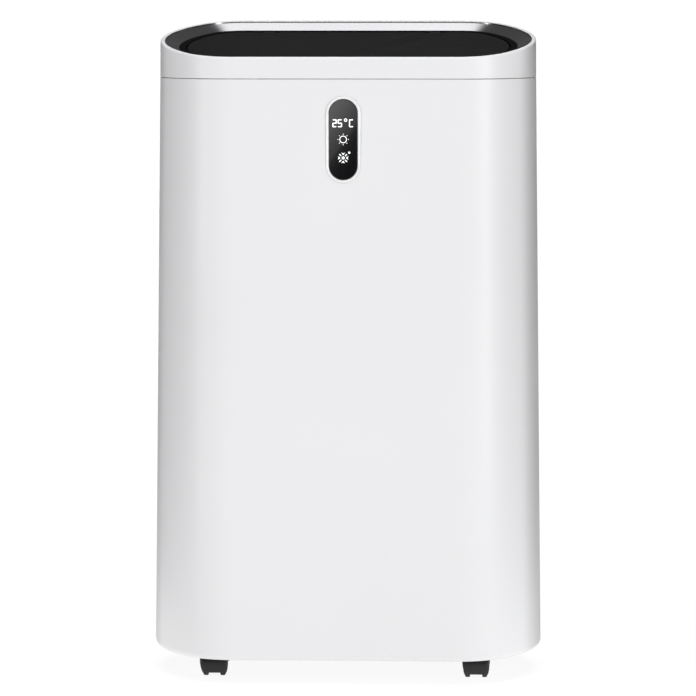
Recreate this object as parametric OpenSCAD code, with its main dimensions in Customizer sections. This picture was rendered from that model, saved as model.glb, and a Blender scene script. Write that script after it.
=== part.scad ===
// Floor-standing dehumidifier on four twin-wheel casters.
// Millimetres, +Z up, front towards -Y. The origin is on the floor under the middle of the body.

/* [Body] */
// Width of the body at its top edge
body_w = 400; // [380:1:480]
// Depth of the body at its top edge
body_d = 236; // [224:1:290]
// How far each rounded end reaches in from the side
end_run = 83; // [75:1:92]
// Radius between the flat front and the rounded end
corner_r = 64; // [55:1:70]
// Height of the body's lower edge above the floor
body_floor = 24; // [22:0.5:28]
// Height of the seam under the top ring
seam_z = 633.5; // [600:0.5:765]
// Height of the top ring at the front, above the seam
ring_h = 22.5; // [18:0.5:40]
// Slope of the top, higher at the back, in degrees
top_slope = 9; // [4:0.1:11]
// How far each side wall spreads from the top down to the lower edge
spread = 7.5; // [2:0.5:10]
// Wall of the covers
wall = 2.5; // [2:0.1:3.5]
// Radius round the lower edge
foot_r = 8; // [5:0.5:9]
// Distance behind the middle at which the front cover meets the rear cover
split_y = 30; // [20:1:36]
// Gap at the seams between covers
seam_gap = 0.5; // [0.3:0.1:1]

/* [Top] */
// Width of the white rim
rim_w = 4.5; // [3.5:0.5:8]
// Width of the sloping bezel inside the rim
bezel_w = 15.5; // [10:0.5:20]
// Depth of the recess below the rim
recess_h = 8; // [6:0.5:12]
// Width of the fixed black border round the flap
border_w = 7; // [5:0.5:12]
// Gap round the flap
flap_gap = 1.5; // [1:0.1:2]
// Thickness of the flap
flap_t = 3; // [2:0.5:4]
// Radius of the flap's hinge pins
hinge_pin_r = 1.1; // [1:0.1:1.3]
// Distance of each flap hinge from the middle
hinge_x = 90; // [60:1:95]
// Height of the air outlet's slatted plate
slat_t = 3; // [2:0.5:4]

/* [Display] */
// Distance of the display to the right of the middle
display_x = 0; // [-20:1:20]
// Height of the display's centre above the floor
display_z = 571; // [500:1:600]
// Width of the display window
window_w = 30.2; // [24:0.2:40]
// Height of the display window
window_h = 84.2; // [70:0.2:110]
// Width of the ring round the window
display_ring_w = 3; // [2:0.2:5]

/* [Casters] */
// Distance of each caster's stem in from the end of the body
caster_in_x = 61; // [60:1:80]
// Distance of each caster's stem in from the front or back of the body
caster_in_y = 38; // [37:1:45]
// Radius of the wheels
wheel_r = 15; // [12.5:0.5:16]
// Distance of the wheels' axle behind the swivel
trail = 9; // [7:0.5:10]
// Width of the gap between the two wheels
wheel_gap = 13; // [11:0.5:15]
// Width of each wheel's tread
tread_w = 5; // [4:0.5:6]
// Radius of the axle
axle_r = 2; // [1.5:0.5:2.5]
// Radius of the swivel stem
stem_r = 4; // [3:0.5:4.5]
// Running clearance of shafts in their bores
run_gap = 0.05; // [0.03:0.01:0.08]

/* [Tank] */
// Width of the water tank
tank_w = 176; // [150:1:178]
// Depth of the water tank
tank_d = 146; // [120:1:148]
// Height of the water tank
tank_h = 132; // [100:1:134]
// Wall of the water tank
tank_wall = 2; // [1.5:0.1:2.5]
// Length of the carrying handle's arms
bail_l = 40; // [34:1:42]
// Radius of the carrying handle's rod
bail_r = 3; // [2.5:0.1:3]

/* [Intake] */
// Half width of the intake grille
grille_half_w = 104; // [90:1:105]
// Height of the intake grille
grille_h = 268; // [240:1:268]
// Height of the gap between two slats of the grille
slot_h = 6; // [4:0.5:7]
// Height from one slat of the grille to the next
slot_pitch = 10.5; // [10:0.5:12]

/* [Air path] */
// Radius of the fan wheel
fan_r = 90; // [80:1:92]
// Width of the fan wheel
fan_w = 52; // [40:1:52]
// Height of the fan's axis
fan_z = 400; // [395:1:405]
// Number of fan blades
blades = 30; // [20:1:40]
// Radius of the fan shaft
shaft_r = 4; // [3:0.5:5]
// Height of the fin packs
coil_h = 264; // [240:1:264]
// Half width of the fin packs
coil_half_w = 100; // [90:1:102]
// Number of tubes in each coil
coil_rows = 8; // [6:2:10]
// Radius of the coil tubes
tube_r = 4; // [3:0.5:5]

/* [Compressor] */
// Radius of the compressor
comp_r = 48; // [42:1:49]
// Height of the compressor's shell
comp_h = 180; // [150:1:182]

/* [Hidden] */
$fn = 72;

// Plan outline: flat front and back, rounded ends of one large arc between two smaller ones.
half_w = body_w / 2;
half_d = body_d / 2;
rim_front_z = seam_z + ring_h;
flat_x = half_w - end_run;
corner_y = half_d - corner_r;
end_gap = end_run - corner_r;
end_shift = (corner_y * corner_y - end_gap * end_gap) / (2 * end_gap);
end_r = end_run + end_shift;
end_x = flat_x - end_shift;
join_a = atan2(corner_y, end_shift);
end_steps = 10;
corner_steps = 8;

function flare(z) = spread * (rim_front_z - z) / (rim_front_z - body_floor);
function inner(z) = flare(z) - wall - seam_gap;
function arc(cx, cy, r, from, to, steps) =
    [for (i = [0:steps - 1]) let (a = from + (to - from) * i / steps) [cx + r * cos(a), cy + r * sin(a)]];
// The outline t outside the body's top edge, with its depth stretched by k.
function oval(t, k = 1) = [for (p = concat(
    arc(end_x, 0, end_r + t, -join_a, join_a, end_steps),
    arc(flat_x, corner_y, corner_r + t, join_a, 90, corner_steps), [[flat_x, half_d + t]],
    arc(-flat_x, corner_y, corner_r + t, 90, 180 - join_a, corner_steps),
    arc(-end_x, 0, end_r + t, 180 - join_a, 180 + join_a, end_steps),
    arc(-flat_x, -corner_y, corner_r + t, 180 + join_a, 270, corner_steps), [[-flat_x, -half_d - t]],
    arc(flat_x, -corner_y, corner_r + t, 270, 360 - join_a, corner_steps)
)) [p[0], k * p[1]]];

// A ring of the given profile, [offset, height] points taken anticlockwise, swept round the outline.
module oval_ring(profile, k = 1) {
    rows = len(profile);
    loops = [for (p = profile) oval(p[0], k)];
    n = len(loops[0]);
    points = [for (j = [0:rows - 1]) for (q = loops[j]) [q[0], q[1], profile[j][1]]];
    faces = [for (j = [0:rows - 1]) for (i = [0:n - 1])
        let (j2 = (j + 1) % rows, i2 = (i + 1) % n)
        [j * n + i, j2 * n + i, j2 * n + i2, j * n + i2]];
    polyhedron(points = points, faces = faces);
}

// An upright plate of the outline.
module oval_plate(t, z, h, k = 1) {
    translate([0, 0, z]) linear_extrude(h) polygon(oval(t, k));
}

// All the room inside the covers, down to the given depth below their outer face.
module body_core(depth) {
    low = oval(flare(body_floor) - depth);
    high = oval(flare(seam_z) - depth);
    n = len(low);
    polyhedron(
        points = concat([for (p = low) [p[0], p[1], body_floor]], [for (p = high) [p[0], p[1], seam_z]]),
        faces = concat(
            [[for (i = [0:n - 1]) i], [for (i = [0:n - 1]) 2 * n - 1 - i]],
            [for (i = [0:n - 1]) let (j = (i + 1) % n) [i, n + i, n + j, j]]
        )
    );
}

// The top's own frame: its origin is in the middle of the rim plane and z is square to that plane.
rim_mid_z = rim_front_z + half_d * tan(top_slope);
top_k = 1 / cos(top_slope);
module on_top() {
    translate([0, 0, rim_mid_z]) rotate([top_slope, 0, 0]) children();
}
function top_y(y, z) = y * cos(top_slope) - z * sin(top_slope);
function top_z(y, z) = rim_mid_z + y * sin(top_slope) + z * cos(top_slope);

// A box from its low corner to its high corner.
module block(lo, hi) {
    translate(lo) cube(hi - lo);
}

// A cylinder along Y from y0 to y1.
module rod_y(x, z, r, y0, y1) {
    translate([x, y0, z]) rotate([-90, 0, 0]) cylinder(r = r, h = y1 - y0);
}

// A cylinder along X from x0 to x1.
module rod_x(y, z, r, x0, x1) {
    translate([x0, y, z]) rotate([0, 90, 0]) cylinder(r = r, h = x1 - x0);
}

// A tube or rod along straight runs square to each other, with true bends between them.
function unit(v) = v / norm(v);
module run(a, b, r) {
    d = unit(b - a);
    tilt = acos(d[2]);
    turn = atan2(d[1], d[0]);
    translate(a) rotate([0, tilt, turn]) cylinder(r = r, h = norm(b - a));
}
module elbow(p, from, to, r, bend) {
    side = cross(-to, from);
    c = p - bend * from + bend * to;
    multmatrix([
        [-to[0], from[0], side[0], c[0]],
        [-to[1], from[1], side[1], c[1]],
        [-to[2], from[2], side[2], c[2]],
        [0, 0, 0, 1]
    ]) rotate_extrude(angle = 90) translate([bend, 0]) circle(r = r);
}
module bent_tube(path, r, bend) {
    last = len(path) - 1;
    for (i = [0:last - 1]) {
        d = unit(path[i + 1] - path[i]);
        a = path[i] + (i > 0 ? bend * d : [0, 0, 0]);
        b = path[i + 1] - (i < last - 1 ? bend * d : [0, 0, 0]);
        run(a, b, r);
        if (i < last - 1) elbow(path[i + 1], d, unit(path[i + 2] - path[i + 1]), r, bend);
    }
}

white = "whitesmoke";
black = "#202224";
chrome = "dimgray";
steel = "silver";
copper = "#b87333";
alloy = "gainsboro";
rubber = "#2b2b2b";

// ---- Covers ----

wide = body_w + 2 * spread + 20;
tall = rim_mid_z + body_d;
tank_x = -22;
tank_front_y = -52;
tank_z = 50;
tank_gap = 1;
bay_margin = 4;
bay_x0 = tank_x - tank_w / 2 - bay_margin;
bay_x1 = tank_x + tank_w / 2 + bay_margin;
bay_z0 = tank_z - bay_margin;
bay_z1 = tank_z + tank_h + 30;
grille_z = 272;
grille_top = grille_z + grille_h;
spigot_x = 96;
spigot_z = 120;
gland_x = 96;
gland_z = 76;
spigot_r = 6.5;
stub_r = 6;
spigot_l = 14;
spigot_well_r = 15;
gland_r = 9;
screw_z = [80, 560];
screw_x = flat_x + 8;
screw_l = 18;
screw_r = 2;
screw_head_r = 3.6;
screw_head_h = 2.2;
cup_y0 = split_y + 12;
cup_y1 = split_y + 62;
cup_z = 500;
cup_h = 45;
cup_depth = 42;
cup_wall = 2.5;

// The covers' wall from the lower edge to the seam.
module body_wall() {
    t = flare(body_floor) - foot_r;
    z = body_floor + foot_r;
    inner_r = foot_r - wall;
    z1 = seam_z;
    oval_ring(concat(
        [for (a = [0:22.5:90]) [t + foot_r * sin(a), z - foot_r * cos(a)]],
        [[flare(z1), z1], [flare(z1) - wall, z1]],
        [for (a = [90:-22.5:0]) [t + inner_r * sin(a), z - inner_r * cos(a)]]
    ));
}

module pill(w, h, y0, y1) {
    for (s = [-1, 1]) rod_y(display_x, display_z + s * (h - w) / 2, w / 2, y0, y1);
    block([display_x - w / 2, y0, display_z - (h - w) / 2], [display_x + w / 2, y1,
        display_z + (h - w) / 2]);
}

face_y = -half_d - flare(display_z);
ring_sink = 0.6;
ring_proud = 1;
window_gap = 0.2;

module front_cover() {
    color(white) difference() {
        body_wall();
        block([-wide, split_y, 0], [wide, wide, tall]);
        pill(window_w + 2 * window_gap, window_h + 2 * window_gap, face_y - 5, face_y + 10);
        pill(window_w + 2 * display_ring_w + 2 * window_gap, window_h + 2 * display_ring_w + 2 * window_gap,
            face_y - 5, face_y + ring_sink);
    }
}

module screw_bosses(r, y0, y1) {
    for (s = [-1, 1]) for (z = screw_z) rod_y(s * screw_x, z, r, y0, y1);
}

rear_y = half_d + flare(body_floor);
boss_y = half_d - 12;
module rear_cover() {
    color(white) difference() {
        union() {
            body_wall();
            intersection() {
                body_core(wall / 2);
                union() {
                    screw_bosses(6, boss_y, rear_y);
                    rod_y(spigot_x, spigot_z, spigot_well_r + 2, half_d - 16, rear_y);
                    rod_y(gland_x, gland_z, gland_r + 2, half_d - 6, rear_y);
                }
            }
        }
        block([-wide, -wide, 0], [wide, split_y + seam_gap, tall]);
        block([bay_x0, split_y, bay_z0], [bay_x1, wide, bay_z1]);
        block([-grille_half_w, split_y, grille_z], [grille_half_w, wide, grille_top]);
        for (s = [0, 1]) mirror([s, 0, 0])
            block([half_w - cup_depth - 20, cup_y0, cup_z], [wide, cup_y1, cup_z + cup_h]);
        screw_bosses(screw_r + 0.1, split_y, rear_y + 1);
        screw_bosses(screw_head_r + 0.4, half_d - 2, rear_y + 1);
        rod_y(spigot_x, spigot_z, spigot_well_r, half_d - 14, rear_y + 1);
        rod_y(spigot_x, spigot_z, stub_r, half_d - 20, rear_y);
        rod_y(gland_x, gland_z, gland_r, half_d - 20, rear_y + 1);
    }
}

module screws() {
    color(steel) {
        for (s = [-1, 1]) for (z = screw_z) screw_at(s * screw_x, z, half_d - 2, screw_head_r, screw_l);
        for (a = [45:90:315]) screw_at(
            motor_screw_ring * cos(a), fan_z + motor_screw_ring * sin(a),
                motor_back_y - motor_flange_t, 3.2, 9, -1);
    }
}

// A pan-head screw whose head's underside is at y, pointing into the body, or out of it for way = -1.
module screw_at(x, z, y, head_r, l, way = 1) {
    translate([x, y, z]) rotate([way > 0 ? -90 : 90, 0, 0]) difference() {
        union() {
            cylinder(r = head_r, h = screw_head_h);
            translate([0, 0, -l]) cylinder(r = screw_r, h = l + 1);
        }
        for (a = [0, 90]) rotate([0, 0, a]) translate([-head_r * 0.6, -0.4, screw_head_h - 0.9])
            cube([head_r * 1.2, 0.8, 2]);
    }
}

module handle_cups() {
    x0 = half_w - cup_depth;
    color(white) for (s = [0, 1]) mirror([s, 0, 0]) difference() {
        union() {
            intersection() {
                body_core(0.5);
                block([x0, cup_y0 + seam_gap, cup_z + seam_gap],
                    [wide, cup_y1 - seam_gap, cup_z + cup_h - seam_gap]);
            }
            intersection() {
                body_core(wall + 0.1);
                block([x0, cup_y0 - 4, cup_z - 4], [wide, cup_y1 + 4, cup_z + cup_h + 4]);
                difference() {
                    body_core(wall + 0.05);
                    body_core(2 * wall);
                }
            }
        }
        block([x0 + cup_wall, cup_y0 + cup_wall, cup_z + cup_wall],
            [wide, cup_y1 - cup_wall, cup_z + cup_h - cup_wall]);
    }
}

// ---- Top ----

ledge_w = 10;
ledge_t = 3;
frame_t = 6;
frame_outer = -8;
flap_t0 = -(rim_w + bezel_w + border_w + flap_gap);
opening_t = flap_t0 + flap_gap;
rest_w = 7.5;
flap_sink = 0.2;
flap_top = -recess_h - flap_sink;
frame_bottom = -recess_h - frame_t;
ring_z = seam_z + seam_gap;

module top_ring() {
    color(white) {
        difference() {
            oval_ring([[flare(ring_z) - wall, ring_z], [flare(ring_z), ring_z], [-0.4, tall],
                [-0.4 - wall, tall]]);
            on_top() block([-wide, -wide, 0], [wide, wide, tall]);
        }
        intersection() {
            oval_plate(-1, ring_z, tall);
            on_top() difference() {
                union() {
                    oval_plate(3, -3, 3, top_k);
                    oval_plate(3, frame_bottom - ledge_t, ledge_t, top_k);
                }
                oval_plate(-rim_w, -5, 10, top_k);
                oval_plate(-wall - ledge_w, frame_bottom - ledge_t - 1, ledge_t + 2, top_k);
            }
        }
    }
}

module top_bezel() {
    drop = recess_h - 1;
    color(chrome) on_top() oval_ring([
        [-rim_w - bezel_w, -recess_h], [-rim_w - bezel_w + 3, -recess_h],
        [-rim_w, -1 - 1.4], [-rim_w, -1]
    ], top_k);
}

hinge_y = (half_d * top_k) + opening_t + 1;
knuckle_r = 2.2;
hinge_z = flap_top - knuckle_r;
knuckle_w = 12;
ear_w = 4;
ear_gap = 0.4;
notch_w = knuckle_w + 2 * (ear_w + ear_gap) + 2;
notch_d = 3;
grip_notch_r = 12;
grip_notch_d = 5;

module outlet_frame() {
    color(black) on_top() difference() {
        union() {
            difference() {
                oval_plate(frame_outer, frame_bottom, frame_t, top_k);
                oval_plate(opening_t, flap_top - flap_t - 0.3, 20, top_k);
                oval_plate(opening_t - rest_w, frame_bottom - 1, 20, top_k);
            }
            for (s = [-1, 1]) for (e = [-1, 1])
                translate([s * hinge_x + e * (knuckle_w + ear_w + 2 * ear_gap) / 2, 0, 0])
                block([-ear_w / 2, hinge_y - 1.6, frame_bottom], [ear_w / 2, hinge_y + 2.3, hinge_z + 2.3]);
        }
        for (s = [-1, 1]) {
            rod_x(hinge_y, hinge_z, knuckle_r + 0.8, s * hinge_x - knuckle_w / 2 - ear_gap,
                s * hinge_x + knuckle_w / 2 + ear_gap);
            rod_x(hinge_y, hinge_z, hinge_pin_r, s * hinge_x - 11, s * hinge_x + 11);
        }
    }
}

module outlet_flap() {
    color(black) on_top() difference() {
        union() {
            difference() {
                oval_plate(flap_t0, flap_top - flap_t, flap_t, top_k);
                for (s = [-1, 1]) block([s * hinge_x - notch_w / 2,
                    half_d * top_k + flap_t0 - notch_d, -20],
                    [s * hinge_x + notch_w / 2, half_d, 0]);
            }
            for (s = [-1, 1]) {
                rod_x(hinge_y, hinge_z, knuckle_r, s * hinge_x - knuckle_w / 2,
                    s * hinge_x + knuckle_w / 2);
                block([s * hinge_x - knuckle_w / 2, hinge_y - 10, flap_top - 1.8],
                    [s * hinge_x + knuckle_w / 2, hinge_y - 1, flap_top]);
            }
        }
        for (s = [-1, 1]) rod_x(hinge_y, hinge_z, hinge_pin_r + run_gap, s * hinge_x - 20,
            s * hinge_x + 20);
        translate([0, -half_d * top_k - flap_t0 - grip_notch_r + grip_notch_d, flap_top - flap_t - 1])
            cylinder(r = grip_notch_r, h = flap_t + 2);
    }
}

module flap_hinge_pins() {
    color(steel) on_top() for (s = [-1, 1])
        rod_x(hinge_y, hinge_z, hinge_pin_r, s * hinge_x - 10.5, s * hinge_x + 10.5);
}

slat_pitch = 14;
slat_w = 3;
grille_t = -(rim_w + bezel_w + border_w);
module outlet_grille() {
    half = half_w + opening_t - rest_w;
    z0 = frame_bottom - slat_t;
    color(black) on_top() {
        difference() {
            oval_plate(-wall - ledge_w - 1.5, z0, slat_t, top_k);
            oval_plate(opening_t - rest_w, z0 - 1, slat_t + 2, top_k);
        }
        intersection() {
            oval_plate(opening_t - rest_w + 1, z0, slat_t, top_k);
            union() {
                for (x = [-floor(half / slat_pitch) * slat_pitch:slat_pitch:half])
                    block([x - slat_w / 2, -half_d, z0], [x + slat_w / 2, half_d, z0 + slat_t]);
                block([-half, -1.5, z0], [half, 1.5, z0 + slat_t]);
            }
        }
    }
}

throat_x0 = 50;
throat_x1 = 150;
throat_z = 160;
scroll_front_y = -26;
scroll_back_y = 37.5;
cover_t = 2.5;
sheet = 2.5;
duct_half_w = 120;
duct_half_d = 62;
duct_top = frame_bottom - slat_t;
module duct_solid(grow, lap) {
    hull() {
        block([throat_x0 - grow, scroll_front_y + sheet - grow, fan_z + throat_z - lap],
            [throat_x1 + grow, scroll_back_y + grow, fan_z + throat_z + 0.5]);
        on_top() block([-duct_half_w - grow, -duct_half_d - grow, duct_top - 0.5],
            [duct_half_w + grow, duct_half_d + grow, duct_top + lap]);
    }
}
module outlet_duct() {
    color(black) difference() {
        duct_solid(sheet, 0);
        duct_solid(0, 1);
    }
}

// ---- Display ----

module display_ring() {
    color(white) difference() {
        pill(window_w + 2 * display_ring_w, window_h + 2 * display_ring_w, face_y - ring_proud,
            face_y + ring_sink);
        pill(window_w + 2 * window_gap, window_h + 2 * window_gap, face_y - 5, face_y + 10);
    }
}

module display_window() {
    color(black) pill(window_w, window_h, face_y - 0.4, face_y + 1.8);
}

module display_board() {
    y = face_y + 8;
    color("green") {
        block([display_x - 14, y, display_z - 40], [display_x + 14, y + 1.6, display_z + 40]);
        block([display_x - 11, y - 4, display_z + 4], [display_x + 11, y, display_z + 22]);
        for (z = [-8, -26]) block([display_x - 6, y - 3, display_z + z - 5], [display_x + 6, y,
            display_z + z + 5]);
        for (s = [-1, 1]) for (e = [-1, 1]) rod_y(display_x + s * 10.5, display_z + e * 33, 2,
            y + 1.6, y + 6);
    }
}

// ---- Base ----

pan_z = body_floor + foot_r;
pan_t = 3;
well_r = trail + wheel_r + 6;
well_roof_z = 44;
socket_top = 66;
caster_x = half_w - caster_in_x;
caster_y = half_d - caster_in_y;
caster_spots = [[-caster_x, -caster_y], [caster_x, -caster_y], [-caster_x, caster_y], [caster_x, caster_y]];
comp_x = half_w - 60;
comp_y = -2;
comp_foot_ring = comp_r + 10;
comp_foot_z = 50;
pan_lip_h = 12;

module base_pan() {
    color("#3a3d40") difference() {
        union() {
            oval_plate(inner(pan_z), pan_z, pan_t);
            difference() {
                oval_plate(inner(pan_z + pan_lip_h), pan_z, pan_lip_h);
                oval_plate(inner(pan_z + pan_lip_h) - 2.5, pan_z - 1, pan_lip_h + 2);
            }
            intersection() {
                oval_plate(inner(pan_z + pan_lip_h), pan_z, 50);
                for (c = caster_spots) translate([c[0], c[1], pan_z]) {
                    cylinder(r = well_r + 2, h = well_roof_z + 2 - pan_z);
                    cylinder(r = 8, h = socket_top + 2 - pan_z);
                }
            }
            for (x = [tank_x - tank_w / 3, tank_x + tank_w / 3])
                block([x - 3, tank_front_y, pan_z + 1], [x + 3, half_d - 14, tank_z - 0.3]);
            for (a = [60, 180, 300]) translate([comp_x + comp_foot_ring * cos(a),
                comp_y + comp_foot_ring * sin(a), pan_z + 1])
                cylinder(r = 6, h = comp_foot_z - 8 - pan_z - 1);
            for (s = [-1, 1]) block([s * screw_x - 6, boss_y - 9, pan_z + 1], [s * screw_x + 6,
                boss_y - 0.2, screw_z[0] + 6]);
        }
        for (c = caster_spots) translate([c[0], c[1], 0]) {
            cylinder(r = well_r, h = well_roof_z);
            cylinder(r = stem_r, h = socket_top);
        }
        screw_bosses(screw_r, boss_y - 12, boss_y);
    }
}

// ---- Casters ----

fork_top = 40;
neck_z = 2 * wheel_r + 0.6;
web_half = wheel_gap / 2 - 0.3;
fender_in = wheel_r + 1;
fender_out = wheel_r + 3;
fender_half = wheel_gap / 2 + tread_w + 3;

module caster_stems() {
    color(steel) for (c = caster_spots) translate([c[0], c[1], 0]) {
        translate([0, 0, 28]) cylinder(r = stem_r, h = socket_top - 2 - 28);
        translate([0, 0, 26]) cylinder(r = stem_r + 1.5, h = 2);
        translate([0, 0, fork_top + 0.3]) cylinder(r = 8, h = well_roof_z - fork_top - 0.3);
    }
}

module caster_fork(i) {
    c = caster_spots[i];
    color(rubber) translate([c[0], c[1], 0]) difference() {
        union() {
            rod_x(trail, wheel_r, 9.5, -web_half, web_half);
            block([-web_half, -7, wheel_r + 1], [web_half, trail + 9, fork_top - 8]);
            translate([0, 0, neck_z]) cylinder(r = 8, h = fork_top - neck_z);
            translate([0, trail, wheel_r]) rotate([90, 0, 90]) rotate([0, 0, -8])
                rotate_extrude(angle = 222) translate([fender_in, -fender_half])
                    square([fender_out - fender_in, 2 * fender_half]);
        }
        translate([0, 0, 20]) cylinder(r = stem_r + run_gap, h = 40);
        translate([0, 0, 20]) cylinder(r = stem_r + 1.9, h = 8.3);
        rod_x(trail, wheel_r, axle_r + run_gap, -20, 20);
    }
}

module caster_wheels(i) {
    c = caster_spots[i];
    x0 = wheel_gap / 2;
    x1 = x0 + tread_w;
    color(rubber) translate([c[0], c[1] + trail, wheel_r]) {
        for (s = [0, 1]) mirror([s, 0, 0]) rotate([0, 90, 0]) rotate_extrude() polygon([
            [axle_r, x0], [wheel_r - 0.5, x0], [wheel_r, x0 + 0.5], [wheel_r, x1 - 0.8],
                [wheel_r - 0.8, x1],
            [wheel_r * 0.8, x1 + 1.4], [wheel_r * 0.53, x1 + 2.3], [axle_r, x1 + 2.7]
        ]);
        color(steel) rod_x(0, 0, axle_r, -x1 - 2.5, x1 + 2.5);
    }
}

// ---- Water tank ----

tank_x0 = tank_x - tank_w / 2;
tank_x1 = tank_x + tank_w / 2;
tank_back_y = tank_front_y + tank_d;
tank_top = tank_z + tank_h;
lid_t = 2.5;
lid_top = tank_top + lid_t;
bail_z = lid_top + 5.5;
bail_y = 22;
bail_pin_r = 2.5;
bail_half = tank_w / 2 - 7;
inlet_x = -60;
inlet_y = 74;
inlet_r = 14;
float_y = tank_front_y + 12;
float_z = tank_top - 22;
float_x = tank_x0 + 40;
float_pin_r = 2;
float_drop = 35;

module water_tank() {
    color("#8fb0c0", 0.5) difference() {
        union() {
            difference() {
                block([tank_x0, tank_front_y, tank_z], [tank_x1, tank_back_y, tank_top]);
                block([tank_x0 + tank_wall, tank_front_y + tank_wall, tank_z + tank_wall],
                    [tank_x1 - tank_wall, tank_back_y - tank_wall, tank_top + 1]);
            }
            for (s = [-1, 1]) block([float_x + s * 14 - 1.5, tank_front_y + 1, float_z - 6],
                [float_x + s * 14 + 1.5, float_y + 5, float_z + 5]);
        }
        rod_x(float_y, float_z, float_pin_r + run_gap, float_x - 20, float_x + 20);
    }
}

module tank_float() {
    color("white") translate([float_x, float_y, float_z]) rotate([-float_drop, 0, 0]) {
        rod_x(0, 0, float_pin_r, -15, 15);
        block([-5, 0, -1.9], [5, 22, 1.9]);
        block([-16, 20, -14], [16, 60, 6]);
    }
}

module tank_lid() {
    color(alloy) difference() {
        union() {
            block([tank_x0, tank_front_y, tank_top], [tank_x1, tank_back_y, lid_top]);
            block([tank_x0 + tank_wall + 0.3, tank_front_y + tank_wall + 0.3, tank_top - 3],
                [tank_x1 - tank_wall - 0.3, tank_back_y - tank_wall - 0.3, tank_top + 1]);
            for (s = [-1, 1]) block([tank_x + s * (bail_half - 6) - 2, bail_y - 5, lid_top - 1],
                [tank_x + s * (bail_half - 6) + 2, bail_y + 5, bail_z + 5]);
        }
        block([tank_x0 + tank_wall + 2.3, tank_front_y + tank_wall + 2.3, tank_top - 4],
            [tank_x1 - tank_wall - 2.3, tank_back_y - tank_wall - 2.3, tank_top]);
        translate([inlet_x, inlet_y, tank_top - 5]) cylinder(r = inlet_r, h = 20);
        rod_x(bail_y, bail_z, bail_pin_r + run_gap, tank_x - tank_w, tank_x + tank_w);
    }
}

module tank_handle() {
    bar_y = bail_y - bail_l;
    color(black) {
        bent_tube([
            [tank_x - bail_half, bail_y - 4, bail_z], [tank_x - bail_half, bar_y, bail_z],
            [tank_x + bail_half, bar_y, bail_z], [tank_x + bail_half, bail_y - 4, bail_z]
        ], bail_r, 10);
        for (s = [-1, 1]) {
            rod_x(bail_y, bail_z, 5, tank_x + s * bail_half - 3.6, tank_x + s * bail_half + 3.6);
            rod_x(bail_y, bail_z, bail_pin_r, tank_x + s * (bail_half - 5) - 5,
                tank_x + s * (bail_half - 5) + 5);
        }
    }
}

grip_w = 90;
grip_h = 26;
grip_z = bay_z1 - 44;
grip_d = 16;
module tank_front() {
    x0 = tank_x - grip_w / 2;
    x1 = tank_x + grip_w / 2;
    color(white) difference() {
        union() {
            intersection() {
                body_wall();
                block([bay_x0 + tank_gap, split_y, bay_z0 + tank_gap], [bay_x1 - tank_gap, wide,
                    bay_z1 - tank_gap]);
            }
            intersection() {
                body_core(wall / 2);
                union() {
                    block([x0 - 2, half_d - grip_d - 2, grip_z - 2], [x1 + 2, rear_y, grip_z + grip_h + 2]);
                    for (s = [-1, 1]) block([tank_x + s * tank_w / 3 - 4, tank_back_y, tank_z + 4],
                        [tank_x + s * tank_w / 3 + 4, rear_y, tank_top - 30]);
                }
            }
        }
        block([x0, half_d - grip_d, grip_z], [x1, wide, grip_z + grip_h]);
    }
}

// ---- Intake cassette ----

frame_back_y = half_d - 12;
cassette_gap = 1;
notch_half = 28;
notch_h = 14;
module intake_grille() {
    x = grille_half_w - cassette_gap;
    z0 = grille_z + cassette_gap;
    z1 = grille_top - cassette_gap;
    slots = floor((grille_h - 44) / slot_pitch);
    color(white) difference() {
        union() {
            intersection() {
                body_wall();
                block([-x, split_y, z0], [x, wide, z1]);
            }
            intersection() {
                body_core(wall / 2);
                difference() {
                    block([-x, half_d - 6, z0], [x, rear_y, z1]);
                    block([-x + 2, half_d - 7, z0 + 2], [x - 2, rear_y + 1, z1 - 2]);
                }
            }
        }
        for (i = [0:slots - 1]) block([-x + 8, split_y, z0 + 10 + i * slot_pitch],
            [x - 8, wide, z0 + 10 + i * slot_pitch + slot_h]);
        block([-notch_half, split_y, z1 - 8 - notch_h], [notch_half, wide, z1 - 8]);
    }
}

module filter_frame() {
    x = grille_half_w - cassette_gap - 2;
    z0 = grille_z + cassette_gap + 2;
    z1 = grille_top - cassette_gap - 2;
    color("#4a4d50") difference() {
        block([-x, frame_back_y, z0], [x, half_d - 6, z1]);
        for (i = [-1, 0, 1]) for (j = [0:3])
            block([i * (2 * x - 4) / 3 - (x - 7) / 3 , frame_back_y - 1, z0 + 5 + j * (z1 - z0 - 4) / 4],
                [i * (2 * x - 4) / 3 + (x - 7) / 3, half_d, z0 + 1 + (j + 1) * (z1 - z0 - 4) / 4]);
        block([-x + 3, frame_back_y + 2, z0 + 3], [x - 3, frame_back_y + 3.2, z1 - 3]);
    }
}

module filter_mesh() {
    x = grille_half_w - cassette_gap - 2;
    z0 = grille_z + cassette_gap + 2;
    z1 = grille_top - cassette_gap - 2;
    color("slategray") block([-x + 3, frame_back_y + 2.1, z0 + 3], [x - 3, frame_back_y + 3.1, z1 - 3]);
}

// ---- Coils and refrigerant circuit ----

deck_z = 246;
deck_t = 3;
tray_z = deck_z + deck_t;
coil_z = grille_z - 4;
evap_y = 91;
evap_half = 11;
cond_y = 58;
cond_half = 12;
row_pitch = (coil_h - 33) / (coil_rows - 1);
row_z0 = coil_z + 16;
tail_x = coil_half_w + 3;
stub_z0 = row_z0;
stub_z1 = row_z0 + (coil_rows - 1) * row_pitch;
riser_x = half_w - 60;
pipe_r = tube_r;
pipe_bend = 10;

module fin_pack(y, half) {
    difference() {
        block([-coil_half_w, y - half, coil_z], [coil_half_w, y + half, coil_z + coil_h]);
        for (i = [0:coil_rows - 1]) rod_x(y, row_z0 + i * row_pitch, tube_r, -wide, wide);
    }
}

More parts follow.
